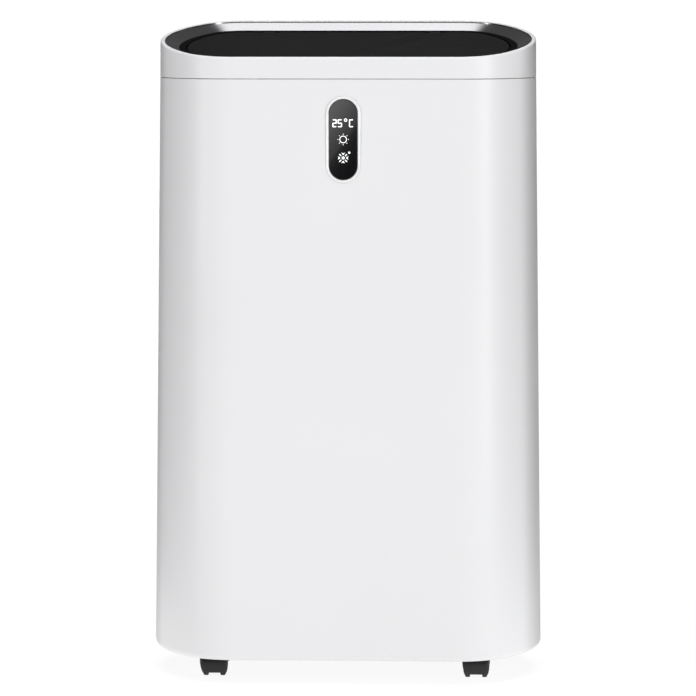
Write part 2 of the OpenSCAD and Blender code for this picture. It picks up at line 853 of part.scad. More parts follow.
// One tube that runs back and forth through the fins, with both ends on the right.
module serpentine(y) {
    for (i = [0:coil_rows - 1]) rod_x(y, row_z0 + i * row_pitch, tube_r, -tail_x, tail_x);
    for (i = [0:coil_rows - 2]) {
        s = (i % 2 == 0) ? -1 : 1;
        translate([s * tail_x, y, row_z0 + (i + 0.5) * row_pitch]) rotate([90, 0, 0])
            rotate([0, 0, s > 0 ? -90 : 90]) rotate_extrude(angle = 180)
                translate([row_pitch / 2, 0]) circle(r = tube_r);
    }
}

module evaporator_fins() { color(alloy) fin_pack(evap_y, evap_half); }
module evaporator_tubes() { color(copper) serpentine(evap_y); }
module condenser_fins() { color(alloy) fin_pack(cond_y, cond_half); }
module condenser_tubes() { color(copper) serpentine(cond_y); }

comp_z = comp_foot_z + 3;
comp_top = comp_z + comp_h;
module compressor() {
    dome = 16;
    color("#26282b") difference() {
        union() {
            translate([comp_x, comp_y, 0]) rotate_extrude() polygon([
                [0, comp_z], [comp_r - 12, comp_z], [comp_r - 3, comp_z + 4], [comp_r, comp_z + 10],
                [comp_r, comp_top - dome], [comp_r - 4, comp_top - dome + 6], [comp_r - 16, comp_top - 4],
                [comp_r - 30, comp_top], [0, comp_top]
            ]);
            for (a = [60, 180, 300]) translate([comp_x, comp_y, comp_foot_z]) rotate([0, 0, a]) {
                block([0, -10, 0], [comp_foot_ring, 10, 3.5]);
                translate([comp_foot_ring, 0, 0]) cylinder(r = 10, h = 3.5);
            }
            translate([comp_x - 14, comp_y - 14, comp_top - 10]) cylinder(r = 9, h = 14);
        }
        for (a = [60, 180, 300])
            translate([comp_x + comp_foot_ring * cos(a), comp_y + comp_foot_ring * sin(a), comp_foot_z - 1])
                cylinder(r = 4.5, h = 8);
        translate([comp_x, comp_y, comp_top - 8]) cylinder(r = pipe_r, h = 20);
    }
}

module at_feet() {
    for (a = [60, 180, 300])
        translate([comp_x + comp_foot_ring * cos(a), comp_y + comp_foot_ring * sin(a), comp_foot_z])
            children();
}

module compressor_grommets() {
    color(rubber) at_feet() difference() {
        union() {
            translate([0, 0, -8]) cylinder(r = 8, h = 8);
            translate([0, 0, -1]) cylinder(r = 4.5, h = 5.5);
            translate([0, 0, 3.5]) cylinder(r = 7, h = 3);
        }
        translate([0, 0, -9]) cylinder(r = 2.5, h = 20);
    }
}

module compressor_bolts() {
    color(steel) at_feet() {
        translate([0, 0, -8]) cylinder(r = 2.5, h = 18);
        translate([0, 0, 6.5]) cylinder(r = 5, h = 4, $fn = 6);
    }
}

acc_x = riser_x;
acc_y = 66;
acc_r = 20;
acc_z0 = 92;
acc_z1 = 196;
module accumulator() {
    color("#26282b") difference() {
        union() {
            translate([acc_x, acc_y, 0]) rotate_extrude() polygon([
                [0, acc_z0 - 6], [8, acc_z0 - 6], [acc_r, acc_z0 + 8], [acc_r, acc_z1 - 10], [8,
                    acc_z1 + 4], [0, acc_z1 + 4]
            ]);
            bent_tube([[acc_x, acc_y, acc_z0], [acc_x, acc_y, 74], [acc_x, comp_y + comp_r - 0.5,
                74]], pipe_r, pipe_bend);
        }
        translate([acc_x, acc_y, acc_z1 - 4]) cylinder(r = pipe_r, h = 20);
        translate([comp_x, comp_y, 60]) cylinder(r = comp_r, h = 30);
    }
}

module suction_pipe() {
    color(copper) bent_tube([
        [tail_x, evap_y, stub_z0], [riser_x, evap_y, stub_z0], [riser_x, evap_y, 226],
        [riser_x, acc_y, 226], [riser_x, acc_y, acc_z1 - 4]
    ], pipe_r, pipe_bend);
}

module discharge_pipe() {
    color(copper) bent_tube([
        [comp_x, comp_y, comp_top - 8], [comp_x, comp_y, 262], [comp_x, cond_y, 262],
        [comp_x, cond_y, stub_z0], [tail_x, cond_y, stub_z0]
    ], pipe_r, pipe_bend);
}

drier_z0 = 360;
drier_z1 = 430;
module filter_drier() {
    color(copper) {
        bent_tube([[tail_x, cond_y, stub_z1], [riser_x, cond_y, stub_z1], [riser_x, cond_y,
            drier_z1]], pipe_r, pipe_bend);
        translate([riser_x, cond_y, 0]) rotate_extrude() polygon([
            [0, drier_z0 - 8], [3, drier_z0 - 8], [9, drier_z0], [9, drier_z1 - 6], [pipe_r,
                drier_z1 + 2], [0, drier_z1 + 2]
        ]);
    }
}

module capillary_tube() {
    color(copper) bent_tube([
        [riser_x, cond_y, drier_z0 - 8], [riser_x, cond_y, 330], [riser_x, evap_y, 330],
        [riser_x, evap_y, stub_z1], [tail_x, evap_y, stub_z1]
    ], 1.5, 6);
}

// ---- Deck, tray and air housing ----

shroud_half = tail_x + row_pitch / 2 + tube_r + 4;
shroud_z0 = coil_z - 3;
shroud_z1 = coil_z + coil_h + 12;
shroud_y0 = scroll_back_y + cover_t;
shroud_y1 = evap_y + evap_half + 2;

module mid_deck() {
    color("#3a3d40") difference() {
        oval_plate(inner(deck_z) - 0.3, deck_z, deck_t);
        block([riser_x - 16, -30, deck_z - 1], [riser_x + 18, evap_y + 7, deck_z + 10]);
        translate([inlet_x, inlet_y, deck_z - 1]) cylinder(r = 9.5, h = 10);
        translate([spigot_x, hose_y, deck_z - 1]) cylinder(r = hose_r + 0.5, h = 10);
    }
}

module drip_tray() {
    x = shroud_half - 4;
    y0 = cond_y - cond_half - 2;
    y1 = evap_y + evap_half + 2;
    z1 = coil_z - 4;
    color(alloy) difference() {
        union() {
            block([-x, y0, tray_z], [x, y1, z1]);
            translate([inlet_x, inlet_y, bail_z + 10]) cylinder(r = 9, h = tray_z - bail_z - 9);
            translate([spigot_x, hose_y, tray_z - 18]) cylinder(r = stub_r, h = 19);
        }
        block([-x + 2, y0 + 2, tray_z + 2], [x - 2, y1 - 2, z1 + 1]);
        translate([inlet_x, inlet_y, bail_z]) cylinder(r = 7, h = 80);
        translate([spigot_x, hose_y, tray_z - 20]) cylinder(r = 4, h = 30);
    }
}

// The inner face of the shroud's screw ears, always met by the shroud's side.
ear_x0 = min(screw_x - 6, shroud_half - 2);
module coil_shroud() {
    color("#d8dadc") difference() {
        union() {
            block([-shroud_half, shroud_y0, shroud_z0], [shroud_half, shroud_y1, shroud_z1]);
            for (s = [-1, 1]) block([min(s * ear_x0, s * (screw_x + 6)), min(boss_y - 9, shroud_y1 - 4),
                shroud_z1 - 10], [max(s * ear_x0, s * (screw_x + 6)), boss_y - 0.2, screw_z[1] + 6]);
        }
        screw_bosses(screw_r, boss_y - 12, boss_y);
        block([-shroud_half + 2, shroud_y0 + 2, shroud_z0 - 1], [shroud_half - 2, shroud_y1 + 1,
            shroud_z1 - 2]);
        rod_y(0, fan_z, fan_r - 10, shroud_y0 - 1, shroud_y0 + 3);
        for (y = [evap_y, cond_y]) for (z = [stub_z0, stub_z1]) rod_x(y, z, tube_r + 1.5,
            shroud_half - 5, shroud_half + 5);
    }
}

tongue_a = 60;
scroll_r0 = fan_r + 10;
function spiral(grow) = [for (a = [tongue_a + 10:10:360])
    let (r = scroll_r0 + grow + (throat_x1 - scroll_r0) * (a - tongue_a) / (360 - tongue_a))
        [r * cos(a), r * sin(a)]];
module scroll_shape(grow) {
    x0 = throat_x0 - grow;
    r = scroll_r0 + grow;
    polygon(concat([[x0, sqrt(r * r - x0 * x0)]], spiral(grow), [[throat_x1 + grow, throat_z], [x0,
        throat_z]]));
}
module scroll_solid(grow, y0, y1) {
    translate([0, y1, fan_z]) rotate([90, 0, 0]) linear_extrude(y1 - y0) scroll_shape(grow);
}

module fan_scroll() {
    color("#d8dadc") difference() {
        scroll_solid(sheet, scroll_front_y, scroll_back_y);
        scroll_solid(0, scroll_front_y + sheet, scroll_back_y + 1);
        block([throat_x0, scroll_front_y + sheet, fan_z + throat_z - 5], [throat_x1,
            scroll_back_y + 1, fan_z + throat_z + 1]);
        rod_y(0, fan_z, 16, scroll_front_y - 1, scroll_front_y + 5);
    }
}

module scroll_cover() {
    color("#d8dadc") difference() {
        scroll_solid(sheet, scroll_back_y, scroll_back_y + cover_t);
        rod_y(0, fan_z, fan_r - 14, scroll_back_y - 1, scroll_back_y + 5);
    }
}

wheel_y0 = -20;
wheel_y1 = wheel_y0 + fan_w;
hub_y1 = 8;
module fan_wheel() {
    color("#4a4d50") difference() {
        union() {
            rod_y(0, fan_z, fan_r, wheel_y0, wheel_y0 + 2);
            rod_y(0, fan_z, 14, wheel_y0, hub_y1);
            difference() {
                rod_y(0, fan_z, fan_r, wheel_y1 - 3, wheel_y1);
                rod_y(0, fan_z, fan_r - 15, wheel_y1 - 4, wheel_y1 + 1);
            }
            translate([0, wheel_y1 - 1, fan_z]) rotate([90, 0, 0]) linear_extrude(fan_w - 2)
                for (i = [0:blades - 1]) rotate(i * 360 / blades) translate([fan_r - 7.5, 0]) rotate(38)
                    square([13, 1.4], center = true);
        }
        rod_y(0, fan_z, shaft_r, wheel_y0 - 1, hub_y1 + 1);
    }
}

motor_r = 42;
motor_front_y = -80;
motor_back_y = -33;
motor_screw_ring = 50;
motor_flange_t = 3;
module fan_shaft() {
    color(steel) rod_y(0, fan_z, shaft_r, motor_front_y + 8, hub_y1 + 8);
}

module fan_nut() {
    color(steel) difference() {
        translate([0, hub_y1, fan_z]) rotate([-90, 0, 0]) cylinder(r = 8, h = 5, $fn = 6);
        rod_y(0, fan_z, shaft_r, hub_y1 - 1, hub_y1 + 6);
    }
}

module at_motor_screws() {
    for (a = [45:90:315])
        translate([motor_screw_ring * cos(a), motor_back_y - 1, fan_z + motor_screw_ring * sin(a)])
            rotate([-90, 0, 0]) children();
}

module fan_motor() {
    color("#8a8d90") difference() {
        union() {
            rod_y(0, fan_z, motor_r, motor_front_y, motor_back_y);
            rod_y(0, fan_z, 15, motor_back_y - 1, scroll_front_y + 1);
            rod_y(0, fan_z, motor_screw_ring + 9, motor_back_y - motor_flange_t, motor_back_y);
            at_motor_screws() cylinder(r = 6, h = scroll_front_y - motor_back_y + 1);
        }
        rod_y(0, fan_z, shaft_r + run_gap, motor_front_y + 4, 0);
        at_motor_screws() translate([0, 0, -10]) cylinder(r = screw_r, h = 40);
    }
}

// ---- Electrics and outlets ----

box_lo = [-182, -56, 66];
box_hi = [-122, 12, 196];
module control_box() {
    color("#d8dadc") difference() {
        block(box_lo, box_hi);
        block(box_lo + [2, 2, 2], box_hi + [-2, -2, 1]);
    }
}

module control_board() {
    x = box_lo[0] + 10;
    color("green") {
        block([x, box_lo[1] + 5, box_lo[2] + 6], [x + 1.6, box_hi[1] - 5, box_hi[2] - 10]);
        block([x + 1.6, -40, 150], [x + 18, -16, 172]);
        block([x + 1.6, -10, 140], [x + 14, 4, 168]);
        translate([x + 1.6, -30, 110]) rotate([0, 90, 0]) cylinder(r = 8, h = 22);
        translate([x + 1.6, -4, 110]) rotate([0, 90, 0]) cylinder(r = 6, h = 18);
        for (i = [0:3]) block([x - 7, -45 + i * 14, 84], [x, -36 + i * 14, 96]);
    }
}

module capacitor() {
    color(alloy) translate([-150, 30, pan_z + pan_t]) {
        cylinder(r = 14, h = 70);
        for (s = [-1, 1]) translate([s * 6 - 2, -1, 69]) cube([4, 2, 9]);
    }
}

module drain_spigot() {
    y0 = half_d - 14;
    color(alloy) difference() {
        union() {
            rod_y(spigot_x, spigot_z, spigot_r, y0, y0 + spigot_l);
            rod_y(spigot_x, spigot_z, stub_r, y0 - 20, y0 + 1);
            rod_y(spigot_x, spigot_z, 11, y0 - 5, y0 - 2);
        }
        rod_y(spigot_x, spigot_z, 4, y0 - 21, y0 + spigot_l + 1);
    }
}

hose_y = cond_y + 4;
hose_r = stub_r + 2;
module drain_hose() {
    end_y = half_d - 14 - 6;
    color(rubber) difference() {
        bent_tube([[spigot_x, hose_y, tray_z - 1], [spigot_x, hose_y, spigot_z], [spigot_x, end_y,
            spigot_z]], hose_r, 14);
        bent_tube([[spigot_x, hose_y, tray_z + 1], [spigot_x, hose_y, spigot_z], [spigot_x,
            end_y + 1, spigot_z]],
            stub_r, 14);
    }
}

module drain_plug() {
    y1 = half_d - 14 + spigot_l;
    color(rubber) {
        rod_y(spigot_x, spigot_z, 3.95, y1 - 9, y1);
        rod_y(spigot_x, spigot_z, 6, y1 + 0.3, y1 + 3);
        rod_y(spigot_x, spigot_z, 3.95, y1 - 1, y1 + 1);
    }
}

gland_bore = 3.7;
module cord_gland() {
    color(rubber) difference() {
        union() {
            rod_y(gland_x, gland_z, gland_r, half_d - 8, half_d + 4);
            rod_y(gland_x, gland_z, gland_r + 2.5, half_d - 10, half_d - 6);
        }
        rod_y(gland_x, gland_z, gland_bore, half_d - 11, half_d + 5);
    }
}

front_cover();
rear_cover();
top_ring();
top_bezel();
outlet_frame();
outlet_grille();
outlet_duct();
outlet_flap();
flap_hinge_pins();
base_pan();
mid_deck();
handle_cups();
display_ring();
display_window();
display_board();
screws();
intake_grille();
filter_frame();
filter_mesh();
water_tank();
tank_lid();
tank_front();
tank_handle();
tank_float();
drip_tray();
compressor();
compressor_grommets();
compressor_bolts();
accumulator();
evaporator_fins();
evaporator_tubes();
condenser_fins();
condenser_tubes();
suction_pipe();
discharge_pipe();
filter_drier();
capillary_tube();
coil_shroud();
fan_scroll();
scroll_cover();
fan_wheel();
fan_shaft();
fan_nut();
fan_motor();
control_box();
control_board();
capacitor();
drain_hose();
drain_spigot();
drain_plug();
cord_gland();
caster_stems();
caster_fork(0);  // caster_fork_1
caster_fork(1);  // caster_fork_2
caster_fork(2);  // caster_fork_3
caster_fork(3);  // caster_fork_4
caster_wheels(0);  // caster_wheels_1
caster_wheels(1);  // caster_wheels_2
caster_wheels(2);  // caster_wheels_3
caster_wheels(3);  // caster_wheels_4
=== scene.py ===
"""Smooth skins, finishes, light and camera for a dehumidifier on casters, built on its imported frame."""

import logging
import math
from dataclasses import dataclass
from enum import Enum
from typing import Callable, ClassVar, Iterable, Sequence

import bmesh
import bpy
from mathutils import Matrix, Vector


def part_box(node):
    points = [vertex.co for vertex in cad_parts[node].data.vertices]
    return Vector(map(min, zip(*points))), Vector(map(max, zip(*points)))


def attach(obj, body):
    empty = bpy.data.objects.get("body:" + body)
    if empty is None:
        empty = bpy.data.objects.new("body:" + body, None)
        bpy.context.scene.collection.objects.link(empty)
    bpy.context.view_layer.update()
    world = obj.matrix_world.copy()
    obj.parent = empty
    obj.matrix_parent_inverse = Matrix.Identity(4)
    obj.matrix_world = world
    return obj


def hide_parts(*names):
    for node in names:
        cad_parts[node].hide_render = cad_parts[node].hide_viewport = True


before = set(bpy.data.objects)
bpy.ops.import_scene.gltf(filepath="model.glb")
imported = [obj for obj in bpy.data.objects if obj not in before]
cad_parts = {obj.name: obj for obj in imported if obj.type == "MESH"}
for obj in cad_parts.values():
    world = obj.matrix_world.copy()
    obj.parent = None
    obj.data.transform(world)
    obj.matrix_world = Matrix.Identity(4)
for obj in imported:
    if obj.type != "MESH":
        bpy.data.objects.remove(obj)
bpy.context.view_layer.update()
LOG = logging.getLogger("dehumidifier")

Point = tuple[float, float, float]
Flat = tuple[float, float]
Colour = tuple[float, float, float]
Well = tuple[float, float, float, float]
Piece = bpy.types.Object
Socket = bpy.types.NodeSocket
Pattern = tuple[Socket, Socket | None]

FRONT_CUT = (-0.2, -0.05)
BACK_CUT = (0.05, 0.2)


# ---------------------------------------------------------------- outline


@dataclass(frozen=True)
class Plan:
    """The oval outline of the body, its flare towards the floor and the sloping plane of its top."""

    half_w: float = 0.200
    half_d: float = 0.118
    end_run: float = 0.083
    corner_r: float = 0.064
    floor_z: float = 0.024
    seam_z: float = 0.6335
    rim_front_z: float = 0.656
    spread: float = 0.0075
    slope: float = math.radians(9)
    arc_step: float = math.radians(1.7)
    flat_steps: int = 16

    @property
    def flat_x(self) -> float:
        """Half the length of the flat front."""
        return self.half_w - self.end_run

    @property
    def rim_mid_z(self) -> float:
        """Height of the rim plane in the middle of the body."""
        return self.rim_front_z + self.half_d * math.tan(self.slope)

    @property
    def stretch(self) -> float:
        """How much longer the sloping plane is than its plan, front to back."""
        return 1 / math.cos(self.slope)

    def flare(self, z: float) -> float:
        """How far the wall stands outside the top outline at height z."""
        return self.spread * (self.rim_front_z - z) / (self.rim_front_z - self.floor_z)

    def stations(self) -> list[tuple[float, float, float, float, float]]:
        """Walks once round the outline, anticlockwise from the right.

        Returns:
            Centre x and y, radius, and the outward direction's x and y, for each point of the outline.
        """
        corner_y = self.half_d - self.corner_r
        gap = self.end_run - self.corner_r
        shift = (corner_y**2 - gap**2) / (2 * gap)
        end_r, end_x = self.end_run + shift, self.flat_x - shift
        join = math.atan2(corner_y, shift)
        walk: list[tuple[float, float, float, float, float]] = []

        def arc(cx: float, cy: float, r: float, start: float, stop: float) -> None:
            """Adds an arc without its last point."""
            steps = math.ceil((stop - start) / self.arc_step)
            for i in range(steps):
                a = start + (stop - start) * i / steps
                walk.append((cx, cy, r, math.cos(a), math.sin(a)))

        def flat(side: int) -> None:
            """Adds the flat back or front without its last point."""
            for i in range(self.flat_steps):
                x = side * self.flat_x * (1 - 2 * i / self.flat_steps)
                walk.append((x, side * corner_y, self.corner_r, 0.0, float(side)))

        right, up, left = 0.0, math.pi / 2, math.pi
        arc(end_x, 0, end_r, right - join, right + join)
        arc(self.flat_x, corner_y, self.corner_r, join, up)
        flat(1)
        arc(-self.flat_x, corner_y, self.corner_r, up, left - join)
        arc(-end_x, 0, end_r, left - join, left + join)
        arc(-self.flat_x, -corner_y, self.corner_r, left + join, left + up)
        flat(-1)
        arc(self.flat_x, -corner_y, self.corner_r, left + up, 2 * left - join)
        return walk

    def level(self, offset: float, z: float) -> list[Point]:
        """The outline, offset outwards, at one height."""
        return [(cx + (r + offset) * ux, cy + (r + offset) * uy, z) for cx, cy, r, ux, uy in self.stations()]

    def wall(self, depth: float, z: float) -> list[Point]:
        """The wall's outline at height z, depth inside its outer face."""
        return self.level(self.flare(z) - depth, z)

    def on_top(self, x: float, y: float, z: float) -> Point:
        """A point given in the sloping top's own axes, in the part's frame."""
        c, s = math.cos(self.slope), math.sin(self.slope)
        return (x, y * c - z * s, self.rim_mid_z + y * s + z * c)

    def sloping(self, offset: float, z: float) -> list[Point]:
        """The outline, offset outwards, parallel to the sloping top and z above it."""
        return [self.on_top(x, y * self.stretch, z) for x, y, _ in self.level(offset, 0.0)]


# ---------------------------------------------------------------- mesh work


def to_object(name: str, bm: bmesh.types.BMesh) -> Piece:
    """Turns a bmesh into an object in the scene and frees it.

    Args:
        name: The piece's name.
        bm: The mesh being built.

    Returns:
        The new object.
    """
    bmesh.ops.recalc_face_normals(bm, faces=bm.faces)
    mesh = bpy.data.meshes.new(name)
    bm.to_mesh(mesh)
    bm.free()
    obj = bpy.data.objects.new(name, mesh)
    bpy.context.scene.collection.objects.link(obj)
    return obj


def sweep(name: str, loops: Sequence[Sequence[Point]], closed: bool = True) -> Piece:
    """Joins outlines of equal length into one skin.

    Args:
        name: The piece's name.
        loops: Outlines with the same number of points each.
        closed: Whether the last outline joins the first, as a wall's section does; otherwise both ends are capped.

    Returns:
        The new object.
    """
    bm = bmesh.new()
    rows = [[bm.verts.new(p) for p in loop] for loop in loops]
    pairs = list(zip(rows, rows[1:] + rows[:1])) if closed else list(zip(rows, rows[1:]))
    n = len(rows[0])
    for low, high in pairs:
        for i in range(n):
            j = (i + 1) % n
            bm.faces.new((low[i], low[j], high[j], high[i]))
    if not closed:
        bm.faces.new(rows[0][::-1])
        bm.faces.new(rows[-1])
    return to_object(name, bm)


def facing(outline: Sequence[Flat], y: float) -> list[Point]:
    """An outline in X and Z, set at a place along Y."""
    return [(x, y, z) for x, z in outline]


def prism(name: str, outline: Sequence[Flat], y0: float, y1: float) -> Piece:
    """An outline in X and Z drawn out along Y."""
    return sweep(name, [facing(outline, y0), facing(outline, y1)], closed=False)


def rounded(x0: float, x1: float, z0: float, z1: float, r: float, steps: int = 6) -> list[Flat]:
    """A rectangle in X and Z with round corners.

    Args:
        x0: Left edge.
        x1: Right edge.
        z0: Lower edge.
        z1: Upper edge.
        r: Radius of the corners.
        steps: Steps in each corner.

    Returns:
        The outline's points, anticlockwise.
    """
    points: list[Flat] = []
    corners = ((x1 - r, z1 - r, 0), (x0 + r, z1 - r, 90), (x0 + r, z0 + r, 180), (x1 - r, z0 + r, 270))
    for cx, cz, start in corners:
        for i in range(steps + 1):
            a = math.radians(start + 90 * i / steps)
            points.append((cx + r * math.cos(a), cz + r * math.sin(a)))
    return points


def inset(lo: Vector, hi: Vector, margin: float, r: float) -> list[Flat]:
    """A box's outline in X and Z, drawn in by a margin, with round corners."""
    return rounded(lo.x + margin, hi.x - margin, lo.z + margin, hi.z - margin, r)


def middle(node: str) -> Flat:
    """X and Z of the middle of a node's box."""
    lo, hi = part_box(node)
    return (lo.x + hi.x) / 2, (lo.z + hi.z) / 2


def circle(x: float, z: float, r: float, steps: int = 48) -> list[Flat]:
    """A circle in X and Z."""
    turns = [2 * math.pi * i / steps for i in range(steps)]
    return [(x + r * math.cos(a), z + r * math.sin(a)) for a in turns]


def lathe(name: str, section: Sequence[Flat], centre: Point, axis: str, steps: int = 64) -> Piece:
    """Turns a closed section about an axis.

    Args:
        name: The piece's name.
        section: Radius and distance along the axis for each point of the section.
        centre: A point on the axis.
        axis: "X", "Y" or "Z".
        steps: Steps round the turn.

    Returns:
        The new object.
    """
    place: dict[str, Callable[[float, float, float], Point]] = {
        "X": lambda a, b, h: (h, a, b),
        "Y": lambda a, b, h: (b, h, a),
        "Z": lambda a, b, h: (a, b, h),
    }
    loops = []
    for r, h in section:
        loop = []
        for i in range(steps):
            t = 2 * math.pi * i / steps
            x, y, z = place[axis](r * math.cos(t), r * math.sin(t), h)
            loop.append((centre[0] + x, centre[1] + y, centre[2] + z))
        loops.append(loop)
    return sweep(name, loops)


def join(name: str, pieces: Iterable[Piece]) -> Piece:
    """Puts the meshes of several objects into one object and removes the originals."""
    bm = bmesh.new()
    for piece in pieces:
        bm.from_mesh(piece.data)
        bpy.data.objects.remove(piece)
    return to_object(name, bm)


def apply_modifiers(obj: Piece) -> None:
    """Keeps the shape that an object's modifiers make and drops the modifiers."""
    shape = bpy.data.meshes.new_from_object(obj.evaluated_get(bpy.context.evaluated_depsgraph_get()))
    obj.modifiers.clear()
    old, obj.data = obj.data, shape
    bpy.data.meshes.remove(old)


def combine(body: Piece, tool: Piece, operation: str = "DIFFERENCE") -> None:
    """Cuts, joins or clips a body with a tool object, which is used up."""
    step = body.modifiers.new("combine", "BOOLEAN")
    step.operation, step.solver, step.object = operation, "EXACT", tool
    apply_modifiers(body)
    bpy.data.objects.remove(tool)


def keep_side(obj: Piece, y: float, front: bool) -> None:
    """Cuts an object at a plane across Y and keeps the part in front of or behind it, closed."""
    bm = bmesh.new()
    bm.from_mesh(obj.data)
    bmesh.ops.bisect_plane(
        bm, geom=bm.verts[:] + bm.edges[:] + bm.faces[:], plane_co=(0, y, 0), plane_no=(0, 1, 0),
        clear_outer=front, clear_inner=not front,
    )
    bmesh.ops.holes_fill(bm, edges=[e for e in bm.edges if e.is_boundary], sides=0)
    bm.to_mesh(obj.data)
    bm.free()


def soften(obj: Piece, width: float, segments: int = 2, angle: float = 35) -> None:
    """Rounds an object's sharp edges slightly, as a mould does."""
    bevel = obj.modifiers.new("soften", "BEVEL")
    bevel.width, bevel.segments, bevel.limit_method = width, segments, "ANGLE"
    bevel.angle_limit, bevel.harden_normals = math.radians(angle), False
    apply_modifiers(obj)


def shade(obj: Piece, angle: float = 32) -> None:
    """Shades an object smooth but for edges sharper than the angle."""
    obj.data.shade_smooth()
    obj.data.set_sharp_from_angle(angle=math.radians(angle))


# ---------------------------------------------------------------- shader groups


def socket_group(name: str, inputs: dict[str, float], outputs: Sequence[str]) -> bpy.types.NodeTree:
    """Starts a shader node group.

    Args:
        name: The group's name.
        inputs: Name and first value of each number that goes in.
        outputs: Names of the values that come out.

    Returns:
        The group with its two end nodes.
    """
    group = bpy.data.node_groups.new(name, "ShaderNodeTree")
    for key, value in inputs.items():
        group.interface.new_socket(key, in_out="INPUT", socket_type="NodeSocketFloat").default_value = value
    for key in outputs:
        group.interface.new_socket(key, in_out="OUTPUT", socket_type="NodeSocketFloat")
    group.nodes.new("NodeGroupInput")
    group.nodes.new("NodeGroupOutput")
    return group


class Wiring:
    """Adds and links nodes in one tree in few words."""

    def __init__(self, tree: bpy.types.NodeTree) -> None:
        """Keeps the tree to work in."""
        self.tree = tree

    def node(self, kind: str, **settings: object) -> bpy.types.Node:
        """A new node with settings or socket values set by name.

        Args:
            kind: The node's type without its ShaderNode prefix.
            settings: Attributes such as operation, or input sockets by name with spaces as underscores.

        Returns:
            The new node.
        """
        made = self.tree.nodes.new("ShaderNode" + kind)
        for key, value in settings.items():
            if hasattr(made, key):
                setattr(made, key, value)
            else:
                made.inputs[key.replace("_", " ")].default_value = value
        return made

    def link(self, source: Socket, target: Socket) -> None:
        """Joins an output to an input."""
        self.tree.links.new(source, target)

    def math(self, operation: str, a: Socket, b: Socket | float) -> Socket:
        """A math node of one or two values."""
        made = self.node("Math", operation=operation)
        self.link(a, made.inputs[0])
        if isinstance(b, float):
            made.inputs[1].default_value = b
        else:
            self.link(b, made.inputs[1])
        return made.outputs[0]

    def noise(self, vector: Socket, scale: float, detail: float = 3.0) -> bpy.types.Node:
        """A noise texture on the given coordinates."""
        made = self.node("TexNoise", Scale=scale, Detail=detail)
        self.link(vector, made.inputs["Vector"])
        return made

    def band(
        self, value: Socket, low: float, high: float, out_low: float = 0.0, out_high: float = 1.0
    ) -> Socket:
        """Maps a range of a value to another, clamped."""
        made = self.node("MapRange", From_Min=low, From_Max=high, To_Min=out_low, To_Max=out_high)
        self.link(value, made.inputs["Value"])
        return made.outputs["Result"]


class Effects:
    """The node groups that several finishes share, each built once."""

    def __init__(self) -> None:
        """Builds the groups."""
        self.grain = self._grain()
        self.wear = self._wear()
        self.dust = self._dust()

    def _grain(self) -> bpy.types.NodeTree:
        """Moulded skin: fine pits over slow waves, and a slow variation of tone."""
        group = socket_group("mould_grain", {"Scale": 900.0, "Waves": 0.3}, ("Height", "Tone"))
        w = Wiring(group)
        source, end = group.nodes["Group Input"], group.nodes["Group Output"]
        where = w.node("TexCoord").outputs["Object"]
        pits = w.noise(where, 900.0, 2.0)
        w.link(source.outputs["Scale"], pits.inputs["Scale"])
        waves = w.noise(where, 14.0, 2.0)
        tone = w.noise(where, 5.0, 4.0)
        slow = w.math("MULTIPLY", waves.outputs["Fac"], source.outputs["Waves"])
        w.link(w.math("ADD", pits.outputs["Fac"], slow), end.inputs["Height"])
        w.link(w.band(tone.outputs["Fac"], 0.3, 0.7), end.inputs["Tone"])
        return group

    def _wear(self) -> bpy.types.NodeTree:
        """Polish and rub marks along outer edges."""
        group = socket_group("edge_wear", {"Amount": 0.5}, ("Mask",))
        w = Wiring(group)
        source, end = group.nodes["Group Input"], group.nodes["Group Output"]
        edge = w.band(w.node("NewGeometry").outputs["Pointiness"], 0.52, 0.62)
        patch = w.noise(w.node("TexCoord").outputs["Object"], 60.0, 5.0)
        mask = w.math("MULTIPLY", edge, w.band(patch.outputs["Fac"], 0.42, 0.62))
        w.link(w.math("MULTIPLY", mask, source.outputs["Amount"]), end.inputs["Mask"])
        return group

    def _dust(self) -> bpy.types.NodeTree:
        """Dust that settles on faces that look up."""
        group = socket_group("settled_dust", {"Amount": 0.3}, ("Mask",))
        w = Wiring(group)
        source, end = group.nodes["Group Input"], group.nodes["Group Output"]
        split = w.node("SeparateXYZ")
        w.link(w.node("NewGeometry").outputs["Normal"], split.inputs[0])
        up = w.band(split.outputs["Z"], 0.5, 1.0)
        patch = w.noise(w.node("TexCoord").outputs["Object"], 38.0, 6.0)
        mask = w.math("MULTIPLY", up, w.band(patch.outputs["Fac"], 0.35, 0.75))
        w.link(w.math("MULTIPLY", mask, source.outputs["Amount"]), end.inputs["Mask"])
        return group


# ---------------------------------------------------------------- finishes


def principled(name: str, settings: dict[str, float | Colour]) -> tuple[bpy.types.Material, Wiring, bpy.types.Node]:
    """Starts a material.

    Args:
        name: The material's name.
        settings: Values of its shader's sockets by name; colours are opaque.

    Returns:
        The material, its wiring and its shader.
    """
    material = bpy.data.materials.new(name)
    material.use_nodes = True
    shader = material.node_tree.nodes["Principled BSDF"]
    for key, value in settings.items():
        shader.inputs[key].default_value = (*value, 1.0) if isinstance(value, tuple) else value
    return material, Wiring(material.node_tree), shader


